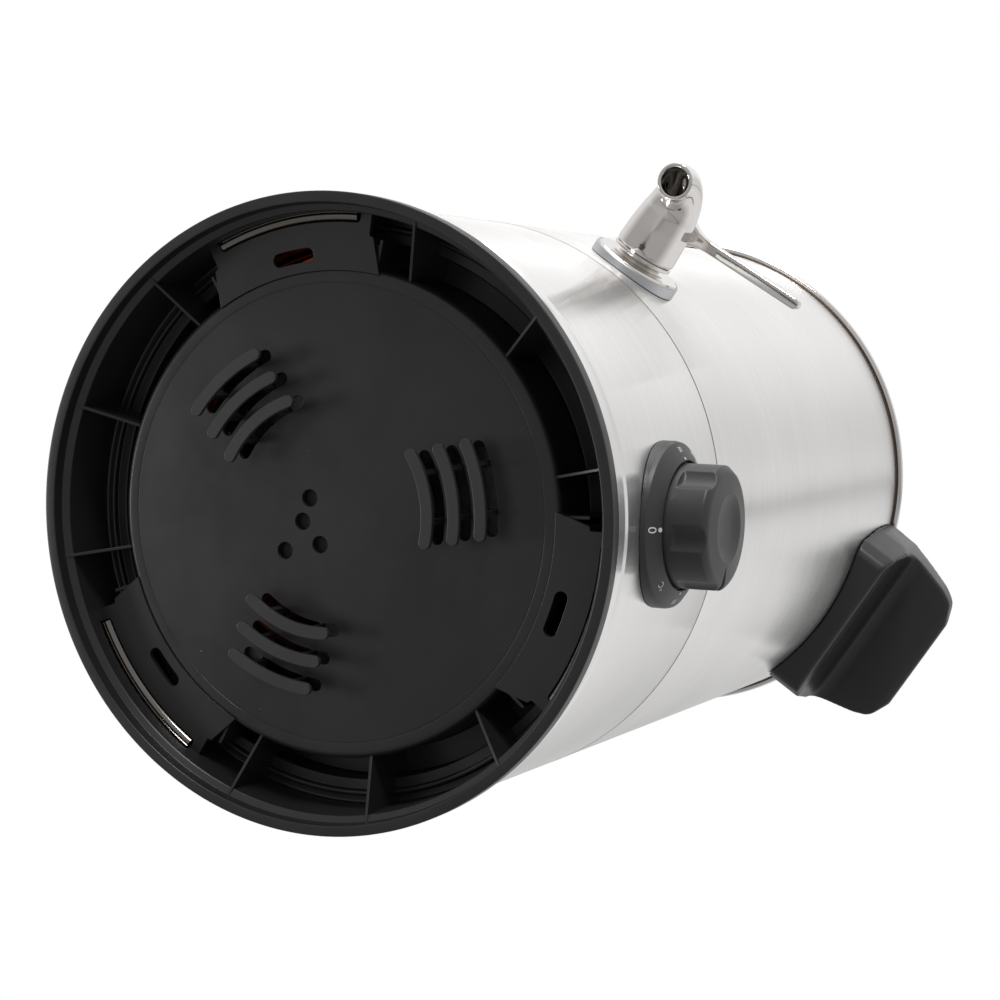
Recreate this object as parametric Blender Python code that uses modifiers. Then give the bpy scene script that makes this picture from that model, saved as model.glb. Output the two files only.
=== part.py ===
"""Electric hot-drink urn with a base moulding, steel skirt and vessel, lever tap, thermostat knob,
two side handles and a lift-off lid.

Metres, +Z up. The origin is on the standing plane, under the middle of the whole object.
The tap points to -Y. Azimuths are degrees anticlockwise from +X about the vessel's axis.
"""
import math

import bmesh
import bpy
from mathutils import Matrix, Vector

# Driving dimensions
GAP = 0.0003
RIM_R = 0.125                 # outer radius of the standing rim
BODY_R = 0.1214               # outer radius of skirt and vessel wall
SHEET = 0.0009                # steel sheet
SKIRT_TOP = 0.127
VESSEL_FLOOR = 0.096
BEAD_Z = 0.4078               # centre of the rolled rim
BEAD_R = 0.0017

HUB_R = 0.0944                # middle disc of the base
HUB_Z = 0.01625
TRAY_WALL = 0.0025
LEDGE_Z = 0.033
CHANNEL_Z = 0.045
PAD_AZIMUTHS = (-14.6, 105.4, 225.4)
RIB_AZIMUTHS = (15.4, 45.4, 75.4, 135.4, 165.4, 195.4, 255.4, 285.4, 315.4)
VENT_AZIMUTHS = (-44.6, 75.4, 195.4)
VENT_RADII = (0.0463, 0.0576, 0.0688)
HOOD_Z = 0.0048                # lowest face of the strips that hood the vents

KNOB_AZIMUTH = -33.0
KNOB_Z = 0.0686
DIAL_R = 0.0329
DIAL_FRONT = 0.1283           # distances of the knob's parts from the vessel's axis
KNOB_BACK = 0.1262
KNOB_FRONT = 0.1445
KNOB_R = 0.0245

TAP_Z = 0.161
TAP_BALL = 0.144              # distance of the lever's axis from the vessel's axis
TAP_BEND = 0.150              # where the elbow begins
OUTLET = 0.1655               # distance of the outlet pipe's axis
OUTLET_Z = 0.1438
OUTLET_R = 0.00785
BORE_R = 0.0062
LEVER_Z = 0.1815
LEVER_REACH = 0.064
LEVER_TURN = -2.4             # the closed lever's angle to the wall's tangent

HANDLE_LOW = 0.350
HANDLE_SHELF = 0.387
HANDLE_TOP = 0.4045

LID_SEAT = BEAD_Z + BEAD_R + GAP

AXIS_Y = (OUTLET + OUTLET_R - RIM_R) / 2    # puts the whole object's middle at Y = 0
FRONT = -90.0
GLAND_AZIMUTH = 90.0
GLAND_Z = 0.060
SCREW_PLACES = ((-0.0119, 0.0012), (-0.0092, 0.0107), (0.0023, 0.0136), (-0.0090, 0.0250))
LIVE_ROUTE = ((-0.024, 0.0836, 0.0290), (-0.028, 0.0860, 0.0430), (-0.044, 0.0820, 0.0560),
              (-0.070, 0.0730, 0.0610), (-0.097, 0.036, 0.0610), (-0.102, -0.005, 0.0610),
              (-0.0905, -0.0520, 0.0560), (-0.0730, -0.0735, 0.0560), (-0.030, -0.098, 0.0600),
              (0.020, -0.100, 0.0600), (0.056, -0.084, 0.0610), (0.0700, -0.0640, 0.0630))
NEUTRAL_ROUTE = ((-0.012, 0.0836, 0.0290), (-0.006, 0.0870, 0.0430), (0.012, 0.0930, 0.0580),
                 (0.032, 0.0965, 0.0720), (0.0390, 0.0870, 0.0780), (0.0392, 0.0788, 0.0750),
                 (0.0400, 0.0768, 0.0665))
EARTH_ROUTE = ((0.000, 0.0836, 0.0290), (0.006, 0.0870, 0.0340), (0.020, 0.0820, 0.0370),
               (0.040, 0.0720, 0.0400), (0.0500, 0.0620, 0.0440))


def clear_scene():
    for obj in list(bpy.data.objects):
        bpy.data.objects.remove(obj, do_unlink=True)


def collection(name):
    group = bpy.data.collections.new(name)
    bpy.context.scene.collection.children.link(group)
    return group


clear_scene()
PARTS = collection("drinks_urn")
CUTTERS = collection("cutters")


def principled(name, colour, roughness, metallic=0.0):
    made = bpy.data.materials.new(name)
    made.use_nodes = True
    shader = made.node_tree.nodes["Principled BSDF"]
    shader.inputs["Base Color"].default_value = (*colour, 1.0)
    shader.inputs["Roughness"].default_value = roughness
    shader.inputs["Metallic"].default_value = metallic
    made.diffuse_color = (*colour, 1.0)
    return made


MATERIALS = {
    "black_pp": ((0.030, 0.030, 0.031), 0.48, 0.0),
    "black_abs": ((0.055, 0.055, 0.057), 0.42, 0.0),
    "bakelite": ((0.022, 0.022, 0.023), 0.38, 0.0),
    "brushed_steel": ((0.78, 0.77, 0.76), 0.30, 1.0),
    "polished_steel": ((0.82, 0.81, 0.80), 0.10, 1.0),
    "plain_steel": ((0.60, 0.60, 0.61), 0.35, 1.0),
    "aluminium": ((0.75, 0.75, 0.76), 0.40, 1.0),
    "element_sheath": ((0.22, 0.21, 0.20), 0.50, 1.0),
    "silicone": ((0.62, 0.64, 0.66), 0.45, 0.0),
    "ptfe": ((0.90, 0.90, 0.88), 0.40, 0.0),
    "ceramic": ((0.85, 0.83, 0.78), 0.45, 0.0),
    "copper": ((0.72, 0.36, 0.22), 0.30, 1.0),
    "red_wire": ((0.55, 0.07, 0.02), 0.35, 0.0),
    "blue_wire": ((0.03, 0.10, 0.45), 0.35, 0.0),
    "earth_wire": ((0.35, 0.55, 0.05), 0.35, 0.0),
}


def dress(obj, material):
    """Give a piece its own copy of a named material."""
    colour, roughness, metallic = MATERIALS[material]
    obj.data.materials.clear()
    obj.data.materials.append(principled(f"{obj.name}_{material}", colour, roughness, metallic))
    obj.data.shade_smooth()
    obj.data.set_sharp_from_angle(angle=math.radians(35))
    return obj


def place(obj, frame):
    if frame is not None:
        obj.matrix_world = frame
    return obj


def upright(x=0.0, y=0.0, z=0.0):
    """Frame parallel to the world's, measured from the vessel's axis."""
    return Matrix.Translation((x, y + AXIS_Y, z))


def radial(azimuth, height):
    """Frame whose Z runs outwards from the vessel's axis, X along the wall and Y up."""
    turn = math.radians(azimuth)
    out = Vector((math.cos(turn), math.sin(turn), 0.0))
    along = Vector((-math.sin(turn), math.cos(turn), 0.0))
    up = Vector((0.0, 0.0, 1.0))
    frame = Matrix((along, up, out)).transposed().to_4x4()
    return Matrix.Translation((0.0, AXIS_Y, height)) @ frame


def mesh_object(name, mesh, group, frame=None):
    obj = bpy.data.objects.new(name, mesh)
    group.objects.link(obj)
    if group is CUTTERS:
        obj.hide_render = True
        obj.display_type = "WIRE"
    return place(obj, frame)


def turned(name, profile, steps=72, group=None, frame=None, ring=False):
    """Solid of revolution about the frame's Z. The profile is (radius, height) pairs, running up the
    inside and down the outside. A ring's profile is closed, any other one ends on the axis."""
    mesh = bpy.data.meshes.new(name)
    count = len(profile)
    edges = [(i, i + 1) for i in range(count - 1)]
    if ring:
        edges.append((count - 1, 0))
    mesh.from_pydata([(r, 0.0, z) for r, z in profile], edges, [])
    obj = mesh_object(name, mesh, group or PARTS, frame or upright())
    screw = obj.modifiers.new("turn", "SCREW")
    screw.steps = steps
    screw.render_steps = steps
    screw.use_merge_vertices = True
    screw.merge_threshold = 0.00001
    screw.use_smooth_shade = True
    return baked(obj)


def baked(obj):
    """Replace an object's mesh by its evaluated one."""
    bpy.context.view_layer.update()
    graph = bpy.context.evaluated_depsgraph_get()
    mesh = bpy.data.meshes.new_from_object(obj.evaluated_get(graph))
    shape = bmesh.new()
    shape.from_mesh(mesh)
    bmesh.ops.remove_doubles(shape, verts=shape.verts, dist=0.00001)
    bmesh.ops.dissolve_degenerate(shape, edges=shape.edges, dist=0.000001)
    shape.to_mesh(mesh)
    shape.free()
    name = obj.name
    if obj.type == "MESH":
        obj.modifiers.clear()
        obj.data = mesh
        return obj
    frame = obj.matrix_world.copy()
    group = obj.users_collection[0]
    bpy.data.objects.remove(obj, do_unlink=True)
    return mesh_object(name, mesh, group, frame)


def rod(name, radius, low, high, sides=32, group=None, frame=None, top=None):
    """Cylinder or cone along the frame's Z from low to high."""
    shape = bmesh.new()
    bmesh.ops.create_cone(shape, cap_ends=True, segments=sides, radius1=radius,
                          radius2=radius if top is None else top, depth=high - low)
    bmesh.ops.translate(shape, verts=shape.verts, vec=(0, 0, (low + high) / 2))
    mesh = bpy.data.meshes.new(name)
    shape.to_mesh(mesh)
    shape.free()
    return mesh_object(name, mesh, group or PARTS, frame or upright())


def ball(name, radius, centre, group=None, frame=None):
    shape = bmesh.new()
    bmesh.ops.create_uvsphere(shape, u_segments=16, v_segments=10, radius=radius)
    bmesh.ops.translate(shape, verts=shape.verts, vec=centre)
    mesh = bpy.data.meshes.new(name)
    shape.to_mesh(mesh)
    shape.free()
    return mesh_object(name, mesh, group or PARTS, frame or upright())


def block(name, low, high, group=None, frame=None):
    shape = bmesh.new()
    bmesh.ops.create_cube(shape, size=1.0)
    size = [b - a for a, b in zip(low, high)]
    middle = [(a + b) / 2 for a, b in zip(low, high)]
    bmesh.ops.scale(shape, verts=shape.verts, vec=size)
    bmesh.ops.translate(shape, verts=shape.verts, vec=middle)
    mesh = bpy.data.meshes.new(name)
    shape.to_mesh(mesh)
    shape.free()
    return mesh_object(name, mesh, group or PARTS, frame or upright())


def slab(name, outline, low, high, group=None, frame=None):
    """Flat outline in the frame's XY plane, from height low to height high."""
    curve = bpy.data.curves.new(name, "CURVE")
    curve.dimensions = "2D"
    curve.fill_mode = "BOTH"
    curve.extrude = (high - low) / 2
    spline = curve.splines.new("POLY")
    spline.points.add(len(outline) - 1)
    for point, (x, y) in zip(spline.points, outline):
        point.co = (x, y, 0.0, 1.0)
    spline.use_cyclic_u = True
    lift = Matrix.Translation((0, 0, (low + high) / 2))
    obj = bpy.data.objects.new(name, curve)
    (group or PARTS).objects.link(obj)
    obj.matrix_world = (frame or upright()) @ lift
    return baked(obj)


def tube(name, points, radius, roundness=2, group=None, frame=None, radii=None):
    """Round bar along a list of points."""
    curve = bpy.data.curves.new(name, "CURVE")
    curve.dimensions = "3D"
    curve.bevel_depth = radius
    curve.bevel_resolution = roundness
    curve.use_fill_caps = True
    spline = curve.splines.new("POLY")
    spline.points.add(len(points) - 1)
    for index, (point, place_) in enumerate(zip(spline.points, points)):
        point.co = (*place_, 1.0)
        point.radius = radii[index] / radius if radii else 1.0
    obj = bpy.data.objects.new(name, curve)
    (group or PARTS).objects.link(obj)
    obj.matrix_world = frame or upright()
    return baked(obj)


def smooth_path(knots, count):
    """Catmull-Rom curve through the knots."""
    knots = [Vector(k) for k in knots]
    ends = [2 * knots[0] - knots[1]] + knots + [2 * knots[-1] - knots[-2]]
    path = []
    for step in range(count):
        where = step / (count - 1) * (len(knots) - 1)
        span = min(int(where), len(knots) - 2)
        t = where - span
        a, b, c, d = ends[span:span + 4]
        path.append(0.5 * (2 * b + (c - a) * t + (2 * a - 5 * b + 4 * c - d) * t ** 2
                           + (3 * b - a - 3 * c + d) * t ** 3))
    return path


def combine(obj, others, operation):
    """Boolean of an object with cutters, which stay hidden in their own collection."""
    group = bpy.data.collections.new(f"{obj.name}_{operation.lower()}")
    CUTTERS.children.link(group)
    for other in others:
        for home in list(other.users_collection):
            home.objects.unlink(other)
        group.objects.link(other)
        other.hide_render = True
        other.display_type = "WIRE"
    change = obj.modifiers.new(operation.lower(), "BOOLEAN")
    change.operation = operation
    change.operand_type = "COLLECTION"
    change.collection = group
    change.solver = "EXACT"
    return baked(obj)


def cut(obj, *others):
    return combine(obj, others, "DIFFERENCE")


def join(obj, *others):
    return combine(obj, others, "UNION")


def polar(radius, azimuth):
    turn = math.radians(azimuth)
    return radius * math.cos(turn), radius * math.sin(turn)


def sector(inner, outer, middle, half, steps=8):
    """Outline of a ring's sector."""
    turns = [middle - half + 2 * half * i / steps for i in range(steps + 1)]
    return [polar(outer, t) for t in turns] + [polar(inner, t) for t in reversed(turns)]


def arc_slot(radius, middle, length, width, steps=4):
    """Outline of a slot with round ends that follows an arc."""
    half = math.degrees(length / 2 / radius)
    turns = [middle - half + 2 * half * i / steps for i in range(steps + 1)]
    outline = [polar(radius + width / 2, t) for t in turns]
    for start, sign in ((middle + half, 1), (middle - half, -1)):
        cx, cy = polar(radius, start)
        for i in range(1, 4):
            swing = start + (45 * i if sign > 0 else 180 + 45 * i)
            dx, dy = polar(width / 2, swing)
            outline.append((cx + dx, cy + dy))
        if sign > 0:
            outline += [polar(radius - width / 2, t) for t in reversed(turns)]
    return outline


# Base
def base_moulding():
    """Rim wall, ledge, channel and middle disc in one moulding, with ribs, pads and louvred vents.
    Over each pad the channel's roof is open to the inside."""
    rim_in = RIM_R - 0.0046
    wall_out = BODY_R - 2 * SHEET - GAP
    wall_in = wall_out - 0.0020
    top = HUB_Z + TRAY_WALL
    profile = [(0, top), (HUB_R, top), (HUB_R + 0.0004, top + 0.002),
               (HUB_R + 0.0004, CHANNEL_Z + TRAY_WALL), (0.1098, CHANNEL_Z + TRAY_WALL),
               (0.1098, LEDGE_Z + TRAY_WALL), (wall_out, LEDGE_Z + TRAY_WALL),
               (wall_out, 0.0062), (RIM_R - 0.0008, 0.0062), (RIM_R, 0.0050), (RIM_R, 0.0005),
               (RIM_R - 0.0005, 0), (rim_in + 0.0004, 0), (rim_in, 0.0004), (rim_in - 0.0003, 0.0048),
               (wall_in + 0.0003, 0.0070), (wall_in, LEDGE_Z), (0.1074, LEDGE_Z),
               (0.1074, CHANNEL_Z), (0.0970, CHANNEL_Z),
               (0.0970, HUB_Z + 0.0035), (0.0963, HUB_Z + 0.0012), (HUB_R, HUB_Z), (0, HUB_Z)]
    tray = turned("base_moulding", profile, steps=36)
    webs = [slab("rib", [(HUB_R - 0.0004, HUB_Z + 0.0008), (rim_in + 0.0004, 0.0044),
                         (wall_in + 0.0010, 0.0080), (wall_in + 0.0010, LEDGE_Z + 0.001),
                         (0.1082, LEDGE_Z + 0.001),
                         (0.1082, CHANNEL_Z + 0.001), (HUB_R + 0.001, CHANNEL_Z + 0.001)],
                 -0.0006, 0.0006, CUTTERS, upright() @ Matrix.Rotation(math.radians(azimuth), 4, "Z")
                 @ Matrix.Rotation(math.radians(90), 4, "X")) for azimuth in RIB_AZIMUTHS]
    webs += [slab("pad", sector(HUB_R - 0.0010, wall_in + 0.0010, azimuth, 22.3, 6),
                  HUB_Z - 0.0006, HUB_Z + 0.0020, CUTTERS) for azimuth in PAD_AZIMUTHS]
    tray = join(tray, *webs)
    holes = [rod("hole", 0.0035, 0.010, 0.030, 12, CUTTERS, upright(x, y)) for x, y in SCREW_PLACES]
    strips = []
    for azimuth in PAD_AZIMUTHS:
        holes.append(slab("pad_slot", arc_slot(0.1019, azimuth, 0.0128, 0.0055), 0.010, 0.030, CUTTERS))
        holes.append(slab("pad_well", sector(0.0985, 0.1062, azimuth, 17.0, 6), 0.040, 0.060, CUTTERS))
        holes.append(slab("hem_slot", sector(0.1140, BODY_R, azimuth, 16.0, 4), 0.0128, 0.050, CUTTERS))
    for azimuth in VENT_AZIMUTHS:
        for radius in VENT_RADII:
            holes.append(slab("vent", arc_slot(radius, azimuth, 0.0320, 0.0050), 0.0130, 0.0300, CUTTERS))
            strips.append(louvre(radius, azimuth))
    tray = cut(tray, *holes)
    tray = join(tray, *strips)
    return dress(tray, "black_pp")


def louvre(radius, azimuth):
    """Strip that hangs below a vent on two posts, each carried by a bar across the vent's upper side."""
    strip = slab("strip", arc_slot(radius, azimuth, 0.0320, 0.0046), HOOD_Z, HOOD_Z + 0.0020, CUTTERS)
    high = HUB_Z + TRAY_WALL
    carriers = []
    for swing in (-1, 1):
        turn = azimuth + swing * math.degrees(0.0095 / radius)
        frame = upright() @ Matrix.Rotation(math.radians(turn), 4, "Z")
        carriers.append(block("post", (radius - 0.0014, -0.0010, HOOD_Z + 0.0014),
                              (radius + 0.0014, 0.0010, high), CUTTERS, frame))
        carriers.append(block("bar", (radius - 0.0048, -0.0010, high - 0.0004),
                              (radius + 0.0048, 0.0010, high + 0.0012), CUTTERS, frame))
    return join(strip, *carriers)


def base_screw(index, x, y):
    """Countersunk screw above one of the access holes."""
    low = HUB_Z + TRAY_WALL + GAP
    profile = [(0, low + 0.012), (0.0015, low + 0.012), (0.0020, low + 0.0115), (0.0020, low + 0.0028),
               (0.0040, low + 0.0024), (0.0040, low), (0, low)]
    screw = turned(f"base_screw_{index}", profile, 12, frame=upright(x, y))
    return dress(screw, "plain_steel")


# Shell
def lower_skirt():
    hem = BODY_R - 0.0007
    inner = BODY_R - SHEET
    hem_in = hem - SHEET
    profile = [(hem_in, 0.0070), (hem_in, 0.0220), (inner, 0.0240), (inner, SKIRT_TOP),
               (BODY_R, SKIRT_TOP), (BODY_R, 0.0239), (BODY_R - 0.0002, 0.0232), (hem, 0.0224),
               (hem, 0.0075), (hem - 0.0003, 0.0066)]
    skirt = turned("lower_skirt", profile, 48, ring=True)
    bush = rod("bush_hole", 0.0054, 0.100, 0.140, 24, CUTTERS, radial(KNOB_AZIMUTH, KNOB_Z))
    inlet = rod("inlet_hole", 0.0063, 0.100, 0.140, 24, CUTTERS, radial(GLAND_AZIMUTH, GLAND_Z))
    return dress(cut(skirt, bush, inlet), "brushed_steel")


def vessel():
    """Pot whose foot nests in the skirt and whose rim is rolled outwards into a bead."""
    inner = BODY_R - SHEET
    foot = inner - 0.0004
    middle = BODY_R + BEAD_R - 0.0002
    bead = []
    for degrees in (120, 70, 20, -30, -80, -130):
        turn = math.radians(degrees)
        bead.append((middle + BEAD_R * math.cos(turn), BEAD_Z + BEAD_R * math.sin(turn)))
    profile = [(0, VESSEL_FLOOR + SHEET), (0.1120, VESSEL_FLOOR + SHEET),
               (foot - SHEET, VESSEL_FLOOR + 0.008),
               (foot - SHEET, SKIRT_TOP), (inner, SKIRT_TOP + 0.0014), (inner, BEAD_Z),
               (inner + 0.0004, BEAD_Z + 0.0011)]
    profile += bead
    profile += [(BODY_R, BEAD_Z - 0.0018), (BODY_R, SKIRT_TOP + GAP), (inner, SKIRT_TOP + GAP),
                (foot, SKIRT_TOP - 0.0006), (foot, VESSEL_FLOOR + 0.0080), (0.1125, VESSEL_FLOOR),
                (0, VESSEL_FLOOR)]
    pot = turned("vessel", profile, 48)
    holes = [rod("tap_hole", 0.0083, 0.100, 0.140, 24, CUTTERS, radial(FRONT, TAP_Z))]
    for side in (0.0, 180.0):
        for y in (-0.030, 0.030):
            frame = handle_screw_frame(side, y)
            holes.append(rod("handle_hole", 0.0028, 0.100, 0.130, 16, CUTTERS, frame))
    return dress(cut(pot, *holes), "brushed_steel")


# Heating and control
def heater_plate():
    high = VESSEL_FLOOR - GAP
    profile = [(0, high), (0.0900, high), (0.0915, high - 0.0010), (0.0920, high - 0.0045),
               (0, high - 0.0045)]
    return dress(turned("heater_plate", profile, 40), "aluminium")


def heating_element():
    """Tubular element: an open ring under the plate whose two ends turn down."""
    z = VESSEL_FLOOR - GAP - 0.0045 - GAP - 0.004
    ring = [(*polar(0.074, turn), z) for turn in range(112, 429, 15)]
    start, end = Vector(ring[0]), Vector(ring[-1])
    left = [start + Vector((-0.004, 0.006, -drop)) for drop in (0.022, 0.012, 0.004)]
    right = [end + Vector((0.004, 0.006, -drop)) for drop in (0.004, 0.012, 0.022)]
    path = left + [Vector(p) for p in ring] + right
    return dress(tube("heating_element", path, 0.0038, 2), "element_sheath")


def thermal_cutout():
    high = VESSEL_FLOOR - GAP - 0.0045 - GAP
    profile = [(0, high), (0.0080, high), (0.0080, high - 0.0030), (0.0064, high - 0.0034),
               (0.0064, high - 0.0100), (0, high - 0.0100)]
    return dress(turned("thermal_cutout", profile, 32), "ceramic")


def heat_shield():
    profile = [(0, 0.0572), (0.0880, 0.0572), (0.0905, 0.0700), (0.0915, 0.0700), (0.0890, 0.0562),
               (0, 0.0562)]
    shield = turned("heat_shield", profile, 32)
    holes = [rod("shield_hole", 0.0070, 0.050, 0.062, 8, CUTTERS, upright(*polar(0.060, turn)))
             for turn in range(30, 360, 60)]
    return dress(cut(shield, *holes), "aluminium")


def shield_post(index, azimuth):
    """Spacer between the base and the heat shield."""
    x, y = polar(0.078, azimuth)
    low = HUB_Z + TRAY_WALL + GAP
    post = rod(f"shield_post_{index}", 0.0045, low, 0.0562 - GAP, 6, frame=upright(x, y))
    return dress(post, "plain_steel")


def thermostat_body():
    """Switch can with a threaded bush that passes through the skirt."""
    frame = radial(KNOB_AZIMUTH, KNOB_Z)
    can = block("thermostat_body", (-0.017, -0.0115, 0.0960), (0.017, 0.0150, 0.1178), frame=frame)
    bush = rod("bush", 0.0050, 0.1170, 0.1238, 24, CUTTERS, frame)
    bore = rod("shaft_bore", 0.0033, 0.1100, 0.1300, 20, CUTTERS, frame)
    can = cut(join(can, bush), bore)
    return dress(can, "ceramic")


def thermostat_nut():
    frame = radial(KNOB_AZIMUTH, KNOB_Z)
    nut = rod("thermostat_nut", 0.0080, BODY_R + GAP, 0.1236, 6, frame=frame)
    return dress(cut(nut, rod("nut_bore", 0.0053, 0.1200, 0.1300, 24, CUTTERS, frame)), "plain_steel")


def thermostat_shaft():
    """Flatted shaft that the knob is pressed on."""
    frame = radial(KNOB_AZIMUTH, KNOB_Z)
    shaft = rod("thermostat_shaft", 0.0030, 0.1103, 0.1380, 20, frame=frame)
    flat = block("flat", (-0.004, 0.0018, 0.1280), (0.004, 0.0050, 0.1400), CUTTERS, frame)
    return dress(cut(shaft, flat), "plain_steel")


def dial_plate():
    """Cone-faced surround, saddle-cut at the back to sit on the round skirt."""
    frame = radial(KNOB_AZIMUTH, KNOB_Z)
    recess = KNOB_R + 0.0008
    profile = [(0, 0.1255), (recess, 0.1255), (recess, DIAL_FRONT - 0.0004), (recess + 0.0004, DIAL_FRONT),
               (DIAL_R - 0.0006, 0.1236), (DIAL_R, 0.1229), (DIAL_R - 0.0003, 0.1100), (0, 0.1100)]
    plate = turned("dial_plate", profile, 36, frame=frame)
    back = rod("back", BODY_R + GAP, 0.0, 0.140, 96, CUTTERS)
    pocket = rod("pocket", 0.0092, 0.1000, 0.1242, 24, CUTTERS, frame)
    bore = rod("dial_bore", 0.0056, 0.1000, 0.1300, 24, CUTTERS, frame)
    return dress(cut(plate, back, pocket, bore), "black_abs")


def knob():
    """Round knob with six flutes, a dished face and a pointer notch."""
    frame = radial(KNOB_AZIMUTH, KNOB_Z)
    dish = [(0.0135 * i / 4, KNOB_FRONT + 0.0014 - 0.0022 * math.cos(math.radians(90 * i / 4)))
            for i in range(5)]
    profile = dish + [(0.0140, KNOB_FRONT + 0.0015), (0.0215, KNOB_FRONT + 0.0003),
                      (KNOB_R - 0.0004, KNOB_FRONT - 0.0010), (KNOB_R, KNOB_FRONT - 0.0024),
                      (KNOB_R, KNOB_BACK), (0, KNOB_BACK)]
    cap = turned("knob", profile, 36, frame=frame)
    tools = []
    for index in range(6):
        turn = math.radians(7.4 + 60 * index)
        shift = Matrix.Translation((0.03205 * math.sin(turn), -0.03205 * math.cos(turn), 0))
        tools.append(rod("flute", 0.00955, 0.1305, 0.1500, 16, CUTTERS, frame @ shift))
    notch = Matrix.Rotation(math.radians(85 - 90), 4, "Z")
    tools.append(slab("notch", [(0.0150, 0.0), (0.0260, -0.0022), (0.0260, 0.0022)],
                      KNOB_FRONT - 0.0040, KNOB_FRONT + 0.0030, CUTTERS, frame @ notch))
    tools.append(rod("socket", 0.0033, 0.1200, 0.1384, 20, CUTTERS, frame))
    return dress(cut(cap, *tools), "black_abs")


def capillary_bulb():
    """Sensing bulb under the plate and the capillary tube that runs to the thermostat."""
    z = VESSEL_FLOOR - 0.0138
    bulb = tube("capillary_bulb", [(-0.040, -0.030, z), (0.020, -0.030, z)], 0.0030, 4)
    x, y = polar(0.0960, KNOB_AZIMUTH)
    line = smooth_path([(0.018, -0.030, z), (0.034, -0.034, z - 0.001), (0.052, -0.036, z - 0.005),
                        (0.068, -0.042, 0.0745), (x - 0.001, y + 0.001, 0.0735)], 22)
    line[-1] = Vector((x - GAP, y + GAP, 0.0735))
    return dress(join(bulb, tube("line", line, 0.0012, 2, CUTTERS)), "copper")


def terminal_block():
    box = block("terminal_block", (-0.030, 0.064, HUB_Z + TRAY_WALL + GAP), (0.006, 0.082, 0.034))
    holes = [rod("screw_hole", 0.0030, 0.026, 0.040, 16, CUTTERS, upright(-0.024 + 0.012 * i, 0.073))
             for i in range(3)]
    return dress(cut(box, *holes), "bakelite")


def wire(name, knots, material, count=34):
    return dress(tube(name, smooth_path(knots, count), 0.0016, 2), material)


def cord_gland():
    """Inlet bush in the rear of the skirt."""
    frame = radial(GLAND_AZIMUTH, GLAND_Z)
    profile = [(0.0042, 0.1120), (0.0042, 0.1240), (0.0085, 0.1240), (0.0095, 0.1233), (0.0095, 0.1219),
               (0.0060, 0.1219), (0.0060, 0.1120)]
    return dress(turned("cord_gland", profile, 20, frame=frame, ring=True), "black_pp")


# Tap
def tap_sleeve(name, profile, material, steps=32):
    return dress(turned(name, profile, steps, frame=radial(FRONT, TAP_Z), ring=True), material)


def saddle_washer(name, outer, low, high, material, inside):
    """Washer whose one face follows the round wall."""
    frame = radial(FRONT, TAP_Z)
    washer = rod(name, outer, low, high, 32, frame=frame)
    bore = rod("washer_bore", 0.0084, 0.100, 0.140, 24, CUTTERS, frame)
    if inside:
        wall = turned("wall", [(BODY_R - SHEET - 2 * GAP, 0.120), (BODY_R - SHEET - 2 * GAP, 0.200),
                               (0.140, 0.200), (0.140, 0.120)], 96, CUTTERS, ring=True)
    else:
        wall = rod("wall", BODY_R + GAP, 0.120, 0.200, 96, CUTTERS)
    return dress(cut(washer, bore, wall), material)


def tap_tail():
    """Threaded shank through the wall, neck and screwed collar."""
    bore = 0.0045
    profile = [(bore, 0.1030), (bore, 0.1322), (0.0076, 0.1322), (0.0076, 0.1301), (0.0132, 0.1301),
               (0.0138, 0.1298), (0.0138, 0.1286), (0.0128, 0.1281), (0.0112, 0.1278), (0.0102, 0.1270),
               (0.0100, 0.1262), (0.0080, 0.1262), (0.0080, 0.1036), (0.0074, 0.1030)]
    return tap_sleeve("tap_tail", profile, "polished_steel", 24)


def tap_lock_nut():
    frame = radial(FRONT, TAP_Z)
    nut = rod("tap_lock_nut", 0.0140, 0.1075, 0.1135, 6, frame=frame)
    return dress(cut(nut, rod("nut_bore", 0.0083, 0.100, 0.120, 32, CUTTERS, frame)), "polished_steel")


def tap_line():
    """Centre line of the tap's body with its radius, in the radial frame: straight, then a bend."""
    line = [((0.0, 0.0, 0.1304), 0.0134), ((0.0, 0.0, 0.1310), 0.0138), ((0.0, 0.0, 0.1400), 0.0133),
            ((0.0, 0.0, TAP_BEND), 0.0124)]
    reach = OUTLET - TAP_BEND
    drop = 0.0140
    for step in range(1, 10):
        turn = math.radians(10 * step)
        share = step / 9
        radius = 0.0124 + (OUTLET_R - 0.0124) * share ** 0.8
        line.append(((0.0, -drop * (1 - math.cos(turn)), TAP_BEND + reach * math.sin(turn)), radius))
    line.append(((0.0, OUTLET_Z - TAP_Z, OUTLET), OUTLET_R))
    return line


def tap_body():
    frame = radial(FRONT, TAP_Z)
    line = tap_line()
    shell = tube("tap_body", [p for p, _ in line], 0.01, 6, frame=frame, radii=[r for _, r in line])
    boss = rod("boss", 0.0070, 0.0, LEVER_Z - TAP_Z - 0.0056, 32, CUTTERS,
               upright(0, -TAP_BALL, TAP_Z))
    shell = join(shell, boss)
    path = [Vector(p) for p, _ in line[4:]] + [Vector((0.0, OUTLET_Z - TAP_Z - 0.004, OUTLET))]
    water = tube("water", [Vector((0, 0, 0.1500))] + path, BORE_R, 4, CUTTERS, frame)
    chamber = rod("chamber", 0.0079, 0.1290, 0.1552, 32, CUTTERS, frame)
    stem = rod("stem_way", 0.0037, 0.0, 0.0400, 20, CUTTERS, upright(0, -TAP_BALL, TAP_Z))
    packing = rod("packing_way", 0.0052, 0.0118, 0.0400, 24, CUTTERS, upright(0, -TAP_BALL, TAP_Z))
    return dress(cut(shell, water, chamber, stem, packing), "polished_steel")


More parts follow.
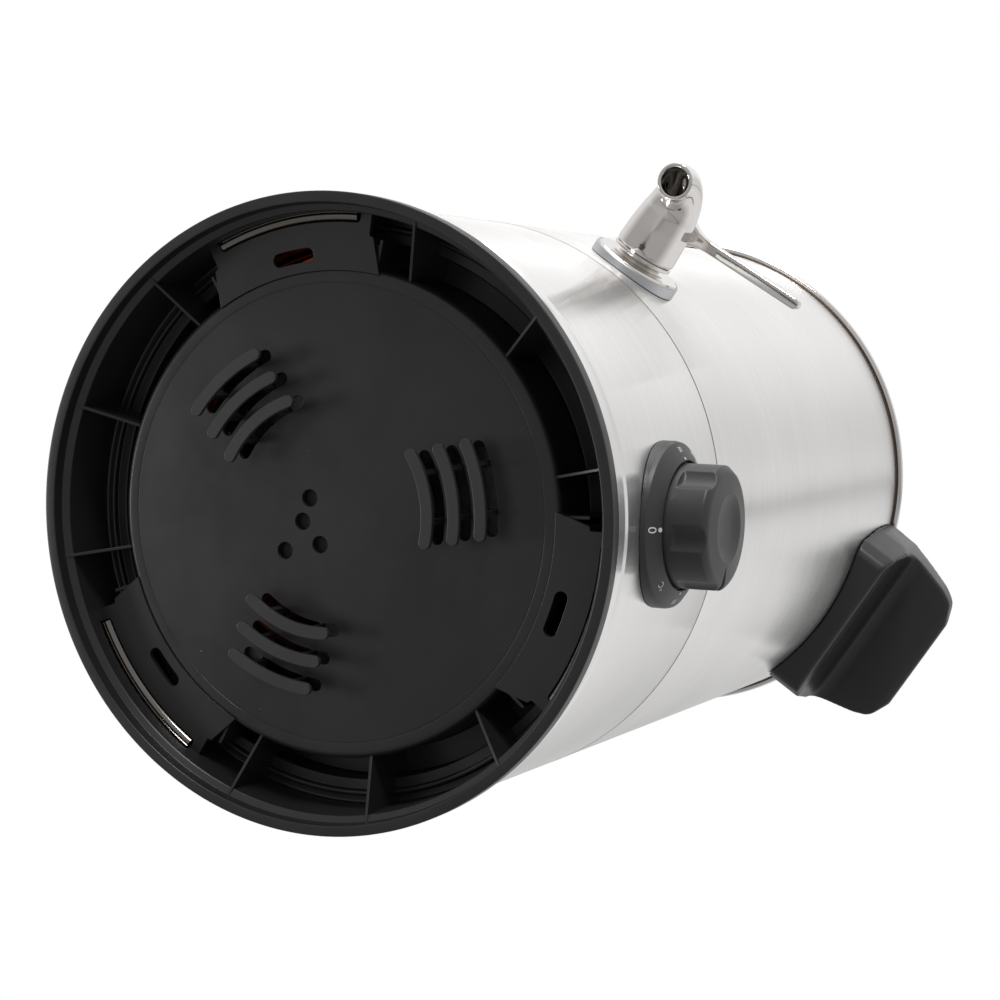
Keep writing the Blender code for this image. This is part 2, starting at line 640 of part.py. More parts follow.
def tap_ball():
    """Valve ball with its cross bore, turned by the stem."""
    frame = radial(FRONT, TAP_Z)
    sphere = ball("tap_ball", 0.0070, (0, 0, TAP_BALL), frame=frame)
    bore = rod("ball_bore", 0.0040, -0.010, 0.010, 24, CUTTERS,
               upright(0, -TAP_BALL, TAP_Z) @ Matrix.Rotation(math.radians(90), 4, "Y"))
    slot = block("slot", (-0.0100, -0.0013, 0.0052), (0.0100, 0.0013, 0.0100), CUTTERS,
                 upright(0, -TAP_BALL, TAP_Z))
    return dress(cut(sphere, bore, slot), "polished_steel")


def tap_seat(name, side):
    """Sealing ring with a cup that the ball rests in."""
    near = TAP_BALL + side * 0.0040
    profile = [(0.0046, TAP_BALL + side * 0.0060), (0.0046, TAP_BALL + side * 0.0108),
               (0.0076, TAP_BALL + side * 0.0108), (0.0076, near), (0.0064, near)]
    if side < 0:
        profile.reverse()
    return tap_sleeve(name, profile, "ptfe")


def tap_stem():
    foot = block("tap_stem", (-0.0030, -0.0010, 0.0056), (0.0030, 0.0010, 0.0085),
                 frame=upright(0, -TAP_BALL, TAP_Z))
    post = turned("post", [(0, 0.0278), (0.0020, 0.0278), (0.0024, 0.0274), (0.0024, 0.0180),
                           (0.0033, 0.0178), (0.0033, 0.0075), (0, 0.0075)], 20, CUTTERS,
                  upright(0, -TAP_BALL, TAP_Z))
    return dress(join(foot, post), "polished_steel")


def tap_packing():
    profile = [(0.0036, 0.0121), (0.0036, 0.0148), (0.0049, 0.0148), (0.0049, 0.0121)]
    frame = upright(0, -TAP_BALL, TAP_Z)
    return dress(turned("tap_packing", profile, 24, frame=frame, ring=True), "ptfe")


def tap_gland_nut():
    frame = upright(0, -TAP_BALL, TAP_Z)
    top = LEVER_Z - TAP_Z - GAP
    profile = [(0.0036, 0.0152), (0.0036, top), (0.0060, top), (0.0066, top - 0.0006), (0.0066, 0.0153),
               (0.0049, 0.0153), (0.0049, 0.0152)]
    return dress(turned("tap_gland_nut", profile, 24, frame=frame, ring=True), "polished_steel")


def tap_lever():
    """Straight bar on a round hub, rounded at the tip."""
    pivot = upright(0, -TAP_BALL, LEVER_Z) @ Matrix.Rotation(math.radians(LEVER_TURN), 4, "Z")
    hub = turned("tap_lever", [(0, 0.0100), (0.0052, 0.0100), (0.0062, 0.0090), (0.0066, 0.0070),
                               (0.0066, 0.0003), (0.0063, 0), (0, 0)], 20, frame=pivot)
    tip = [(LEVER_REACH - 0.0024 + 0.0024 * math.cos(math.radians(t)),
            0.0024 * math.sin(math.radians(t))) for t in range(-90, 91, 18)]
    plan = [(0.0, -0.0024)] + tip + [(0.0, 0.0024)]
    bar = slab("bar", plan, 0.0024, 0.0070, CUTTERS, pivot)
    flare = slab("flare", [(0.0030, -0.0058), (0.0085, -0.0034), (0.0150, -0.0020), (0.0150, 0.0020),
                           (0.0085, 0.0034), (0.0030, 0.0058)], 0.0016, 0.0078, CUTTERS, pivot)
    bore = rod("lever_bore", 0.0027, -0.0050, 0.0078, 20, CUTTERS, pivot)
    hollow = rod("hub_hollow", 0.0050, -0.0050, 0.0020, 24, CUTTERS, pivot)
    grub = rod("grub_way", 0.0013, 0.0020, 0.0100, 12, CUTTERS,
               pivot @ Matrix.Translation((0, 0, 0.0052)) @ Matrix.Rotation(math.radians(90), 4, "X"))
    return dress(cut(join(hub, bar, flare), bore, hollow, grub), "polished_steel")


def lever_grub_screw():
    pivot = upright(0, -TAP_BALL, LEVER_Z) @ Matrix.Rotation(math.radians(LEVER_TURN), 4, "Z")
    frame = pivot @ Matrix.Translation((0, 0, 0.0052)) @ Matrix.Rotation(math.radians(90), 4, "X")
    return dress(rod("lever_grub_screw", 0.0010, 0.0028, 0.0060, 10, frame=frame), "plain_steel")


# Handles
def handle_screw_frame(side, y):
    """Frame whose Z runs outwards along a handle screw."""
    turn = Matrix.Rotation(math.radians(side), 4, "Z") @ Matrix.Rotation(math.radians(90), 4, "Y")
    shift = Matrix.Rotation(math.radians(side), 4, "Z") @ Vector((0, y, 0))
    return upright(shift.x, shift.y, 0.3740) @ turn


def handle(name, side):
    """Side handle: a flange on the wall and a shelf that the fingers curl under."""
    frame = upright() @ Matrix.Rotation(math.radians(side), 4, "Z")
    section = [(0.1000, HANDLE_LOW), (0.1318, HANDLE_LOW), (0.1330, HANDLE_LOW + 0.0012),
               (0.1332, HANDLE_LOW + 0.0090), (0.1326, HANDLE_LOW + 0.0110), (0.1335, HANDLE_LOW + 0.0220)]
    section += [(0.1335 + 0.0120 * (1 - math.cos(math.radians(t))),
                 HANDLE_SHELF - 0.0120 + 0.0120 * math.sin(math.radians(t))) for t in (15, 35, 60, 90)]
    section += [(0.1640, HANDLE_SHELF), (0.1672, HANDLE_SHELF + 0.0012), (0.1686, HANDLE_SHELF + 0.0036),
                (0.1676, HANDLE_SHELF + 0.0066), (0.1560, 0.4000), (0.1420, 0.4034), (0.1300, HANDLE_TOP),
                (0.1000, HANDLE_TOP)]
    body = slab(name, section, -0.0550, 0.0550, frame=frame @ Matrix.Rotation(math.radians(90), 4, "X"))
    plan = [(0.1000, -0.0490), (0.1290, -0.0476), (0.1450, -0.0430), (0.1560, -0.0398), (0.1630, -0.0366),
            (0.1665, -0.0310), (0.1682, -0.0220), (0.1688, 0.0)]
    plan += [(x, -y) for x, y in reversed(plan[:-1])]
    footprint = slab("plan", plan, 0.3400, 0.4200, CUTTERS, frame)
    front = [(-0.0350, HANDLE_LOW - 0.001), (-0.0400, HANDLE_LOW + 0.0015), (-0.0433, HANDLE_LOW + 0.0060),
             (-0.0475, 0.3800), (-0.0500, 0.4200)]
    front += [(-y, z) for y, z in reversed(front)]
    stand = Matrix(((0, 0, 1, 0), (1, 0, 0, 0), (0, 1, 0, 0), (0, 0, 0, 1)))
    face = slab("front", front, 0.0900, 0.1800, CUTTERS, frame @ stand)
    body = combine(body, [footprint], "INTERSECT")
    body = combine(body, [face], "INTERSECT")
    wall = rod("wall", BODY_R + GAP, 0.330, 0.420, 96, CUTTERS)
    ways = [rod("screw_way", 0.0022, 0.100, 0.1290, 16, CUTTERS, handle_screw_frame(side, y))
            for y in (-0.030, 0.030)]
    return dress(cut(body, wall, *ways), "bakelite")


def handle_screw(index, side, y):
    profile = [(0, 0.1285), (0.0019, 0.1285), (0.0019, 0.1150), (0.0042, 0.1150), (0.0042, 0.1136),
               (0.0030, 0.1126), (0, 0.1124)]
    screw = turned(f"handle_screw_{index}", profile, 14, frame=handle_screw_frame(side, y))
    return dress(screw, "polished_steel")


# Lid
def lid():
    """Domed lid with a locating skirt inside the rim."""
    dome = [(0.0, 0.4280), (0.035, 0.4276), (0.070, 0.4252), (0.098, 0.4198), (0.112, 0.4142)]
    profile = dome + [(0.1175, 0.4112), (0.1222, LID_SEAT + 0.0010), (0.1228, LID_SEAT + 0.0005),
                      (0.1222, LID_SEAT), (0.1198, LID_SEAT), (0.1194, LID_SEAT - 0.0070),
                      (0.1186, LID_SEAT - 0.0070), (0.1184, LID_SEAT + 0.0006), (0.1115, 0.4134)]
    profile += [(r, z - SHEET) for r, z in reversed(dome[:-1])]
    shell = turned("lid", profile, 32)
    return dress(cut(shell, rod("lid_hole", 0.0029, 0.400, 0.440, 20, CUTTERS)), "brushed_steel")


def lid_knob():
    low = 0.4283
    profile = [(0, low + 0.0240), (0.0130, low + 0.0236), (0.0178, low + 0.0215), (0.0190, low + 0.0185),
               (0.0178, low + 0.0150), (0.0110, low + 0.0105), (0.0095, low + 0.0070),
               (0.0110, low + 0.0025),
               (0.0135, low), (0, low)]
    grip = turned("lid_knob", profile, 20)
    return dress(cut(grip, rod("knob_way", 0.0027, 0.420, low + 0.0150, 20, CUTTERS)), "bakelite")


def lid_screw():
    profile = [(0, 0.4420), (0.0024, 0.4420), (0.0024, 0.4268), (0.0050, 0.4268), (0.0050, 0.4252),
               (0.0036, 0.4240), (0, 0.4238)]
    return dress(turned("lid_screw", profile, 20), "plain_steel")


def build():
    base_moulding()
    for index, (x, y) in enumerate(SCREW_PLACES, start=1):
        base_screw(index, x, y)
    lower_skirt()
    vessel()
    heater_plate()
    heating_element()
    thermal_cutout()
    heat_shield()
    for index, azimuth in enumerate((45, 165, 285), start=1):
        shield_post(index, azimuth)
    thermostat_body()
    thermostat_nut()
    thermostat_shaft()
    dial_plate()
    knob()
    capillary_bulb()
    terminal_block()
    cord_gland()
    wire("live_wire", LIVE_ROUTE, "red_wire", 26)
    wire("neutral_wire", NEUTRAL_ROUTE, "blue_wire", 14)
    wire("earth_wire", EARTH_ROUTE, "earth_wire", 14)
    saddle_washer("tap_outer_gasket", 0.0204, 0.1150, 0.1229, "silicone", False)
    tap_sleeve("tap_flange", [(0.0084, 0.1232), (0.0084, 0.1258), (0.0194, 0.1258), (0.0203, 0.1250),
                              (0.0205, 0.1240), (0.0205, 0.1232)], "polished_steel", 28)
    saddle_washer("tap_inner_gasket", 0.0150, 0.1138, 0.1250, "silicone", True)
    tap_tail()
    tap_lock_nut()
    tap_body()
    tap_ball()
    tap_seat("tap_seat_inner", -1)
    tap_seat("tap_seat_outer", 1)
    tap_stem()
    tap_packing()
    tap_gland_nut()
    tap_lever()
    lever_grub_screw()
    handle("handle_right", 0.0)
    handle("handle_left", 180.0)
    for index, (side, y) in enumerate(((0, -0.030), (0, 0.030), (180, -0.030), (180, 0.030)), start=1):
        handle_screw(index, side, y)
    lid()
    lid_knob()
    lid_screw()


build()
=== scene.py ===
import math

import bmesh
import bpy
import numpy as np
from mathutils import Matrix, Vector


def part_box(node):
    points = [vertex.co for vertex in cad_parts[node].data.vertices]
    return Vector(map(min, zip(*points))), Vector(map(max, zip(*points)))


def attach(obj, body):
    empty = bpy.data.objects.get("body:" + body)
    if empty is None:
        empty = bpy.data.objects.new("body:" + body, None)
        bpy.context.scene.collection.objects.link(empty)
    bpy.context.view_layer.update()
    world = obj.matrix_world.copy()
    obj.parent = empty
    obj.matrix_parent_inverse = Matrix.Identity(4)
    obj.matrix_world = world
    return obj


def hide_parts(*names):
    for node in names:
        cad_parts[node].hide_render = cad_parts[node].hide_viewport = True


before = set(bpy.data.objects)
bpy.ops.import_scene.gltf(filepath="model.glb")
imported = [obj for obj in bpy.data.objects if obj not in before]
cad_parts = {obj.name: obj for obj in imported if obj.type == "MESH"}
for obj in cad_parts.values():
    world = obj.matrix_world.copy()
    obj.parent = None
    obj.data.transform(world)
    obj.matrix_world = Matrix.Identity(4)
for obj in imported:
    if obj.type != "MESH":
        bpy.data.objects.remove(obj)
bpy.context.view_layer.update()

scene = bpy.context.scene
baseLow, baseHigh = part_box("base_moulding")
axisY = (baseLow.y + baseHigh.y) / 2  # the vessel's axis
print("frame loaded")

# helpers that make and change meshes


def uprightFrame(x=0.0, y=0.0, z=0.0):
    return Matrix.Translation((x, y + axisY, z))


def radialFrame(azimuth, height):
    # X along the wall, Y up, Z outwards from the vessel's axis
    turn = math.radians(azimuth)
    out = Vector((math.cos(turn), math.sin(turn), 0))
    along = Vector((-math.sin(turn), math.cos(turn), 0))
    axes = Matrix((along, Vector((0, 0, 1)), out)).transposed()
    return Matrix.Translation((0, axisY, height)) @ axes.to_4x4()


def moved(points, place):
    # rows of points times the frame's turn, plus its shift
    turn = np.array(place.to_3x3())
    return np.asarray(points, float) @ turn.T + np.array(place.translation)


def gridFaces(rows, columns, wrapRows, wrapColumns, start=0):
    # four corners of each cell of a grid of points, as whole index arrays
    index = np.arange(rows * columns).reshape(rows, columns) + start
    if wrapColumns:
        index = np.concatenate([index, index[:, :1]], 1)
    if wrapRows:
        index = np.concatenate([index, index[:1]], 0)
    corners = (index[:-1, :-1], index[:-1, 1:], index[1:, 1:], index[1:, :-1])
    return np.stack(corners, -1).reshape(-1, 4)


mergeGap = 0.000004  # points nearer than this become one
flatEdge = 0.000001  # shorter edges are dissolved


def placed(name, mesh, sharp):
    # the mesh as an object of the scene, smooth up to an angle
    obj = bpy.data.objects.new(name, mesh)
    scene.collection.objects.link(obj)
    smoothShade(obj, sharp)
    return obj


def makeMesh(name, parts, sharp=32):
    # parts: (points, faces) arrays put into one mesh, merged where they meet, and turned outwards
    mesh = bpy.data.meshes.new(name)
    points, faces, start = [], [], 0
    for partPoints, partFaces in parts:
        points.append(np.asarray(partPoints, float).reshape(-1, 3))
        faces += [[i + start for i in face] for face in np.asarray(partFaces).tolist()]
        start += len(points[-1])
    mesh.from_pydata(np.concatenate(points).tolist(), [], faces)
    shape = bmesh.new()
    shape.from_mesh(mesh)
    bmesh.ops.remove_doubles(shape, verts=shape.verts, dist=mergeGap)
    bmesh.ops.dissolve_degenerate(shape, edges=shape.edges, dist=flatEdge)
    bmesh.ops.recalc_face_normals(shape, faces=shape.faces)
    shape.to_mesh(mesh)
    shape.free()
    return placed(name, mesh, sharp)


def smoothShade(obj, sharp):
    obj.data.shade_smooth()
    obj.data.set_sharp_from_angle(angle=math.radians(sharp))


def bake(obj, sharp):
    # the modifiers' result becomes the mesh
    bpy.context.view_layer.update()
    graph = bpy.context.evaluated_depsgraph_get()
    mesh = bpy.data.meshes.new_from_object(obj.evaluated_get(graph))
    obj.modifiers.clear()
    obj.data = mesh
    smoothShade(obj, sharp)
    return obj


def boolean(obj, others, operation="DIFFERENCE", sharp=32):
    group = bpy.data.collections.new(obj.name + operation)
    for other in others:
        scene.collection.objects.unlink(other)
        group.objects.link(other)
    change = obj.modifiers.new(operation, "BOOLEAN")
    change.operation = operation
    change.operand_type = "COLLECTION"
    change.collection = group
    change.solver = "EXACT"
    bake(obj, sharp)
    for other in others:
        bpy.data.objects.remove(other, do_unlink=True)
    bpy.data.collections.remove(group)
    return obj


def bevelled(obj, width):
    # breaks every edge sharper than 50 degrees
    change = obj.modifiers.new("edges", "BEVEL")
    change.width = width
    change.segments = 2
    change.limit_method = "ANGLE"
    change.angle_limit = math.radians(50)
    change.use_clamp_overlap = True
    return bake(obj, 50)


def joined(name, objects, sharp=32):
    # several closed shells as one piece
    shape = bmesh.new()
    for obj in objects:
        shape.from_mesh(obj.data)
    mesh = bpy.data.meshes.new(name)
    shape.to_mesh(mesh)
    shape.free()
    for obj in objects:
        bpy.data.objects.remove(obj, do_unlink=True)
    return placed(name, mesh, sharp)


def turned(points, angle):
    # x cos - y sin, x sin + y cos: flat points turned about the origin
    cosine, sine = np.cos(angle), np.sin(angle)
    x, y = points[..., 0], points[..., 1]
    return np.stack([x * cosine - y * sine, x * sine + y * cosine], -1)


def arcPoints(radius, turns, x=0.0, y=0.0):
    # radius times cosine and sine of each turn, about a centre
    return np.stack([x + radius * np.cos(turns), y + radius * np.sin(turns)], 1)


straight = 1.55  # half angle past which a corner is left as it is


def rounded(corners, closed=False, steps=5):
    # corners (a, b, radius): each corner is replaced by an arc that touches both its sides
    count = len(corners)
    out = []
    for i, (a, b, radius) in enumerate(corners):
        here = np.array([a, b], float)
        if radius <= 0 or (not closed and i in (0, count - 1)):
            out.append(here)
            continue
        before = np.array(corners[i - 1][:2], float) - here
        after = np.array(corners[(i + 1) % count][:2], float) - here
        lengthBefore, lengthAfter = np.linalg.norm(before), np.linalg.norm(after)
        before, after = before / lengthBefore, after / lengthAfter
        half = math.acos(max(-1.0, min(1.0, float(before @ after)))) / 2
        if half > straight:
            out.append(here)
            continue
        reach = min(radius / math.tan(half), lengthBefore * 0.48, lengthAfter * 0.48)
        size = reach * math.tan(half)
        centre = here + (before + after) / np.linalg.norm(before + after) * size / math.sin(half)
        first = here + before * reach - centre
        last = here + after * reach - centre
        swing = math.atan2(first[0] * last[1] - first[1] * last[0], float(first @ last))
        out += list(centre + turned(first, np.linspace(0, swing, steps + 1)))
    return np.array(out)


def lathePoints(profile, steps):
    # radius times cosine and sine of the turn, height unchanged
    turns = np.linspace(0, 2 * math.pi, steps, endpoint=False)
    radius = profile[:, :1]
    height = np.broadcast_to(profile[:, 1:2], (len(profile), steps))
    return np.stack([radius * np.cos(turns), radius * np.sin(turns), height], -1)


def lathe(name, corners, steps=192, place=None, closed=False, sharp=32, arc=5):
    # a rounded profile of (radius, height) carried round the frame's Z
    profile = rounded(corners, closed, arc)
    points = moved(lathePoints(profile, steps), place or uprightFrame())
    return makeMesh(name, [(points, gridFaces(len(profile), steps, closed, True))], sharp)


def prism(name, outline, low, high, place=None):
    # a flat outline drawn at two heights, with walls between and a cap on each
    outline = np.asarray(outline, float)
    count = len(outline)
    levels = [np.concatenate([outline, np.full((count, 1), z)], 1) for z in (low, high)]
    points = moved(np.concatenate(levels), place or uprightFrame())
    mesh = bpy.data.meshes.new(name)
    faces = gridFaces(2, count, False, True).tolist()
    faces += [list(range(count))[::-1], list(range(count, 2 * count))]
    mesh.from_pydata(points.tolist(), [], faces)
    shape = bmesh.new()
    shape.from_mesh(mesh)
    bmesh.ops.recalc_face_normals(shape, faces=shape.faces)
    shape.to_mesh(mesh)
    shape.free()
    return placed(name, mesh, 32)


def ringPart(inner, outer, middle, half, steps=24):
    # outline of a ring's sector: the outer arc there, the inner arc back
    turns = np.radians(np.linspace(middle - half, middle + half, steps + 1))
    return np.concatenate([arcPoints(outer, turns), arcPoints(inner, turns)[::-1]])


def arcSlot(radius, middle, length, width, steps=16, ends=8):
    # outline of a bent slot: two arcs joined by half circles
    half = length / 2 / radius
    centre = math.radians(middle)
    turns = np.linspace(centre - half, centre + half, steps + 1)
    outer = arcPoints(radius + width / 2, turns)
    inner = arcPoints(radius - width / 2, turns)[::-1]
    swing = np.linspace(0, math.pi, ends + 2)[1:-1]

    def cap(turn, start):
        return arcPoints(width / 2, start + swing, radius * np.cos(turn), radius * np.sin(turn))
    first, last = centre + half, centre - half
    return np.concatenate([outer, cap(first, first), inner, cap(last, last + math.pi)])


def keep(obj, body, material, nodes=()):
    # rides on a body, takes a material and stands for CAD nodes
    obj.data.materials.clear()
    obj.data.materials.append(material)
    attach(obj, body)
    if nodes:
        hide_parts(*nodes)
    return obj


# finishes

def nodeGroup(name, inputs, outputs):
    group = bpy.data.node_groups.new(name, "ShaderNodeTree")
    for label, kind, value in inputs:
        made = group.interface.new_socket(label, in_out="INPUT", socket_type=kind)
        if value is not None:
            made.default_value = value
    for label, kind in outputs:
        group.interface.new_socket(label, in_out="OUTPUT", socket_type=kind)
    return group, group.nodes.new("NodeGroupInput"), group.nodes.new("NodeGroupOutput")


def mathNode(tree, operation, first, second=None, third=None):
    made = tree.nodes.new("ShaderNodeMath")
    made.operation = operation
    for slotIndex, value in enumerate((first, second, third)):
        if value is None:
            continue
        if isinstance(value, (int, float)):
            made.inputs[slotIndex].default_value = value
        else:
            tree.links.new(value, made.inputs[slotIndex])
    return made.outputs[0]


def noiseNode(tree, vector, scale, detail=2.0, roughness=0.5):
    made = tree.nodes.new("ShaderNodeTexNoise")
    made.inputs["Scale"].default_value = scale
    made.inputs["Detail"].default_value = detail
    made.inputs["Roughness"].default_value = roughness
    tree.links.new(vector, made.inputs["Vector"])
    return made.outputs["Fac"]


def stretched(tree, vector, scale):
    made = tree.nodes.new("ShaderNodeMapping")
    made.inputs["Scale"].default_value = scale
    tree.links.new(vector, made.inputs["Vector"])
    return made.outputs["Vector"]


def ranged(tree, value, low, high, outLow, outHigh):
    made = tree.nodes.new("ShaderNodeMapRange")
    tree.links.new(value, made.inputs["Value"])
    for label, number in (("From Min", low), ("From Max", high), ("To Min", outLow), ("To Max", outHigh)):
        if isinstance(number, (int, float)):
            made.inputs[label].default_value = number
        else:
            tree.links.new(number, made.inputs[label])
    return made.outputs["Result"]


grainSet = dict(pitScale=2600.0, driftScale=34.0, dustScale=160.0, patchScale=75.0, patchFrom=0.62,
                patchTo=0.80,
                dustSize=0.085, dustColour=(0.55, 0.54, 0.52))
brushSet = dict(fine=(26, 26, 5200), broad=(9, 9, 420), fineShare=0.7, broadShare=0.3, patchScale=11.0,
                glossSwing=0.035)
bumpReach = dict(plastic=0.00006, steel=0.00002, polished=0.00003, plain=0.00005)


def makeGrainGroup(s):
    # moulded grain: fine pits, a slow drift of gloss and tiny dust specks
    group, given, result = nodeGroup("mouldedGrain", [
        ("Vector", "NodeSocketVector", None), ("Pits", "NodeSocketFloat", 0.5),
        ("Gloss", "NodeSocketFloat", 0.45), ("Dust", "NodeSocketFloat", 0.3)],
        [("Height", "NodeSocketFloat"), ("Roughness", "NodeSocketFloat"), ("Speck", "NodeSocketFloat")])
    where = given.outputs["Vector"]
    fine = noiseNode(group, where, s["pitScale"], 3.0, 0.6)
    coarse = noiseNode(group, where, s["driftScale"], 3.0, 0.6)
    cells = group.nodes.new("ShaderNodeTexVoronoi")
    cells.inputs["Scale"].default_value = s["dustScale"]
    group.links.new(where, cells.inputs["Vector"])
    size = noiseNode(group, where, s["patchScale"], 1.0)
    reach = ranged(group, size, s["patchFrom"], s["patchTo"], 0.0, s["dustSize"])
    speck = mathNode(group, "LESS_THAN", cells.outputs["Distance"], reach)
    group.links.new(mathNode(group, "MULTIPLY", fine, given.outputs["Pits"]), result.inputs["Height"])
    drift = ranged(group, coarse, 0.3, 0.7, -0.05, 0.06)
    group.links.new(mathNode(group, "ADD", drift, given.outputs["Gloss"]), result.inputs["Roughness"])
    group.links.new(mathNode(group, "MULTIPLY", speck, given.outputs["Dust"]), result.inputs["Speck"])
    return group


def makeBrushGroup(s):
    # long scratches that run round the vessel: noise squeezed along Z, plus faint uneven patches
    group, given, result = nodeGroup("roundBrushing", [
        ("Vector", "NodeSocketVector", None), ("Depth", "NodeSocketFloat", 0.5),
        ("Gloss", "NodeSocketFloat", 0.3)],
        [("Height", "NodeSocketFloat"), ("Tone", "NodeSocketFloat"), ("Roughness", "NodeSocketFloat")])
    where = given.outputs["Vector"]
    fine = noiseNode(group, stretched(group, where, s["fine"]), 1.0, 3.0, 0.6)
    broad = noiseNode(group, stretched(group, where, s["broad"]), 1.0, 2.0, 0.55)
    patch = noiseNode(group, where, s["patchScale"], 3.0, 0.6)
    wide = mathNode(group, "MULTIPLY", broad, s["broadShare"])
    lines = mathNode(group, "MULTIPLY_ADD", fine, s["fineShare"], wide)
    group.links.new(mathNode(group, "MULTIPLY", lines, given.outputs["Depth"]), result.inputs["Height"])
    patches = ranged(group, patch, 0.3, 0.7, -0.4, 0.4)
    tone = mathNode(group, "ADD", ranged(group, lines, 0.3, 0.7, -0.5, 0.5), patches)
    group.links.new(tone, result.inputs["Tone"])
    rough = mathNode(group, "MULTIPLY_ADD", tone, s["glossSwing"], given.outputs["Gloss"])
    group.links.new(rough, result.inputs["Roughness"])
    return group


grainGroup = makeGrainGroup(grainSet)
brushGroup = makeBrushGroup(brushSet)


def newMaterial(name):
    made = bpy.data.materials.new(name)
    made.use_nodes = True
    tree = made.node_tree
    shader = tree.nodes["Principled BSDF"]
    where = tree.nodes.new("ShaderNodeTexCoord").outputs["Object"]
    return made, tree, shader, where


def bumped(tree, shader, height, strength, distance):
    made = tree.nodes.new("ShaderNodeBump")
    made.inputs["Strength"].default_value = strength
    made.inputs["Distance"].default_value = distance
    tree.links.new(height, made.inputs["Height"])
    tree.links.new(made.outputs["Normal"], shader.inputs["Normal"])


def mixedColour(tree, factor, first, second):
    made = tree.nodes.new("ShaderNodeMix")
    made.data_type = "RGBA"
    made.inputs["A"].default_value = (*first, 1)
    made.inputs["B"].default_value = (*second, 1)
    tree.links.new(factor, made.inputs["Factor"])
    return made.outputs["Result"]


def groupNode(tree, group, where, **values):
    # a shared node group with this material's own values
    made = tree.nodes.new("ShaderNodeGroup")
    made.node_tree = group
    tree.links.new(where, made.inputs["Vector"])
    for label, value in values.items():
        made.inputs[label].default_value = value
    return made


def plastic(name, colour, gloss, pits, dust, bump):
    made, tree, shader, where = newMaterial(name)
    grain = groupNode(tree, grainGroup, where, Pits=pits, Gloss=gloss, Dust=dust)
    dusty = mixedColour(tree, grain.outputs["Speck"], colour, grainSet["dustColour"])
    tree.links.new(dusty, shader.inputs["Base Color"])
    tree.links.new(grain.outputs["Roughness"], shader.inputs["Roughness"])
    bumped(tree, shader, grain.outputs["Height"], bump, bumpReach["plastic"])
    return made


def steel(name, colour, dark, gloss, depth, anisotropy, bump, turn):
    # turn swings the smear of its reflections, in whole turns
    made, tree, shader, where = newMaterial(name)
    brush = groupNode(tree, brushGroup, where, Depth=depth, Gloss=gloss)
    tone = ranged(tree, brush.outputs["Tone"], -0.7, 0.7, 0.0, 1.0)
    tree.links.new(mixedColour(tree, tone, dark, colour), shader.inputs["Base Color"])
    tree.links.new(brush.outputs["Roughness"], shader.inputs["Roughness"])
    shader.inputs["Metallic"].default_value = 1.0
    shader.inputs["Anisotropic"].default_value = anisotropy
    shader.inputs["Anisotropic Rotation"].default_value = turn
    bumped(tree, shader, brush.outputs["Height"], bump, bumpReach["steel"])
    return made


def polished(name, colour, roughness):
    # mirror-like metal with faint polishing haze
    made, tree, shader, where = newMaterial(name)
    haze = noiseNode(tree, where, 90.0, 4.0, 0.6)
    fine = noiseNode(tree, where, 700.0, 2.0)
    tarnished = tuple(c * 0.93 for c in colour)
    tree.links.new(mixedColour(tree, haze, tarnished, colour), shader.inputs["Base Color"])
    tree.links.new(ranged(tree, haze, 0.3, 0.75, roughness, roughness + 0.03), shader.inputs["Roughness"])
    shader.inputs["Metallic"].default_value = 1.0
    bumped(tree, shader, mathNode(tree, "ADD", fine, haze), 0.05, bumpReach["polished"])
    return made


def plain(name, colour, second, roughness, metallic=0.0, glow=None):
    # mottled plain finish, mostly for inner pieces; a faint painted glow (emission) lifts a colour out of the
    # dark
    made, tree, shader, where = newMaterial(name)
    mottle = noiseNode(tree, where, 300.0, 3.0, 0.6)
    tree.links.new(mixedColour(tree, mottle, second, colour), shader.inputs["Base Color"])
    uneven = ranged(tree, mottle, 0.3, 0.7, roughness - 0.05, roughness + 0.07)
    tree.links.new(uneven, shader.inputs["Roughness"])
    shader.inputs["Metallic"].default_value = metallic
    if glow:
        shader.inputs["Emission Color"].default_value = (*glow, 1)
        shader.inputs["Emission Strength"].default_value = 0.2
    bumped(tree, shader, mottle, 0.1, bumpReach["plain"])
    return made


baseBlack = plastic("blackPolypropylene", (0.0150, 0.0150, 0.0155), 0.34, 0.5, 0.35, 0.22)
# painted light: a lighter copy of the base's black for the raised vent strips, which belong to the same
# moulding
hoodLitBlack = plastic("ventHoodPaintedLight", (0.026, 0.026, 0.0265), 0.40, 0.5, 0.2, 0.25)
dialBlack = plastic("charcoalPlastic", (0.034, 0.034, 0.036), 0.42, 0.5, 0.15, 0.30)
handleBlack = plastic("phenolicBlack", (0.022, 0.022, 0.0225), 0.34, 0.6, 0.15, 0.30)
bodySteel = steel("brushedSteel", (0.985, 0.975, 0.965), (0.82, 0.81, 0.80), gloss=0.20, depth=0.8,
                  anisotropy=0.97, bump=0.16, turn=0.25)
# painted shade: a much darker copy of the skirt's steel for the lip deep in the base's slots
lipShadedSteel = polished("hemLipShadedSteel", (0.23, 0.215, 0.20), 0.14)
rimSteel = polished("rolledRimSteel", (0.86, 0.84, 0.83), 0.12)
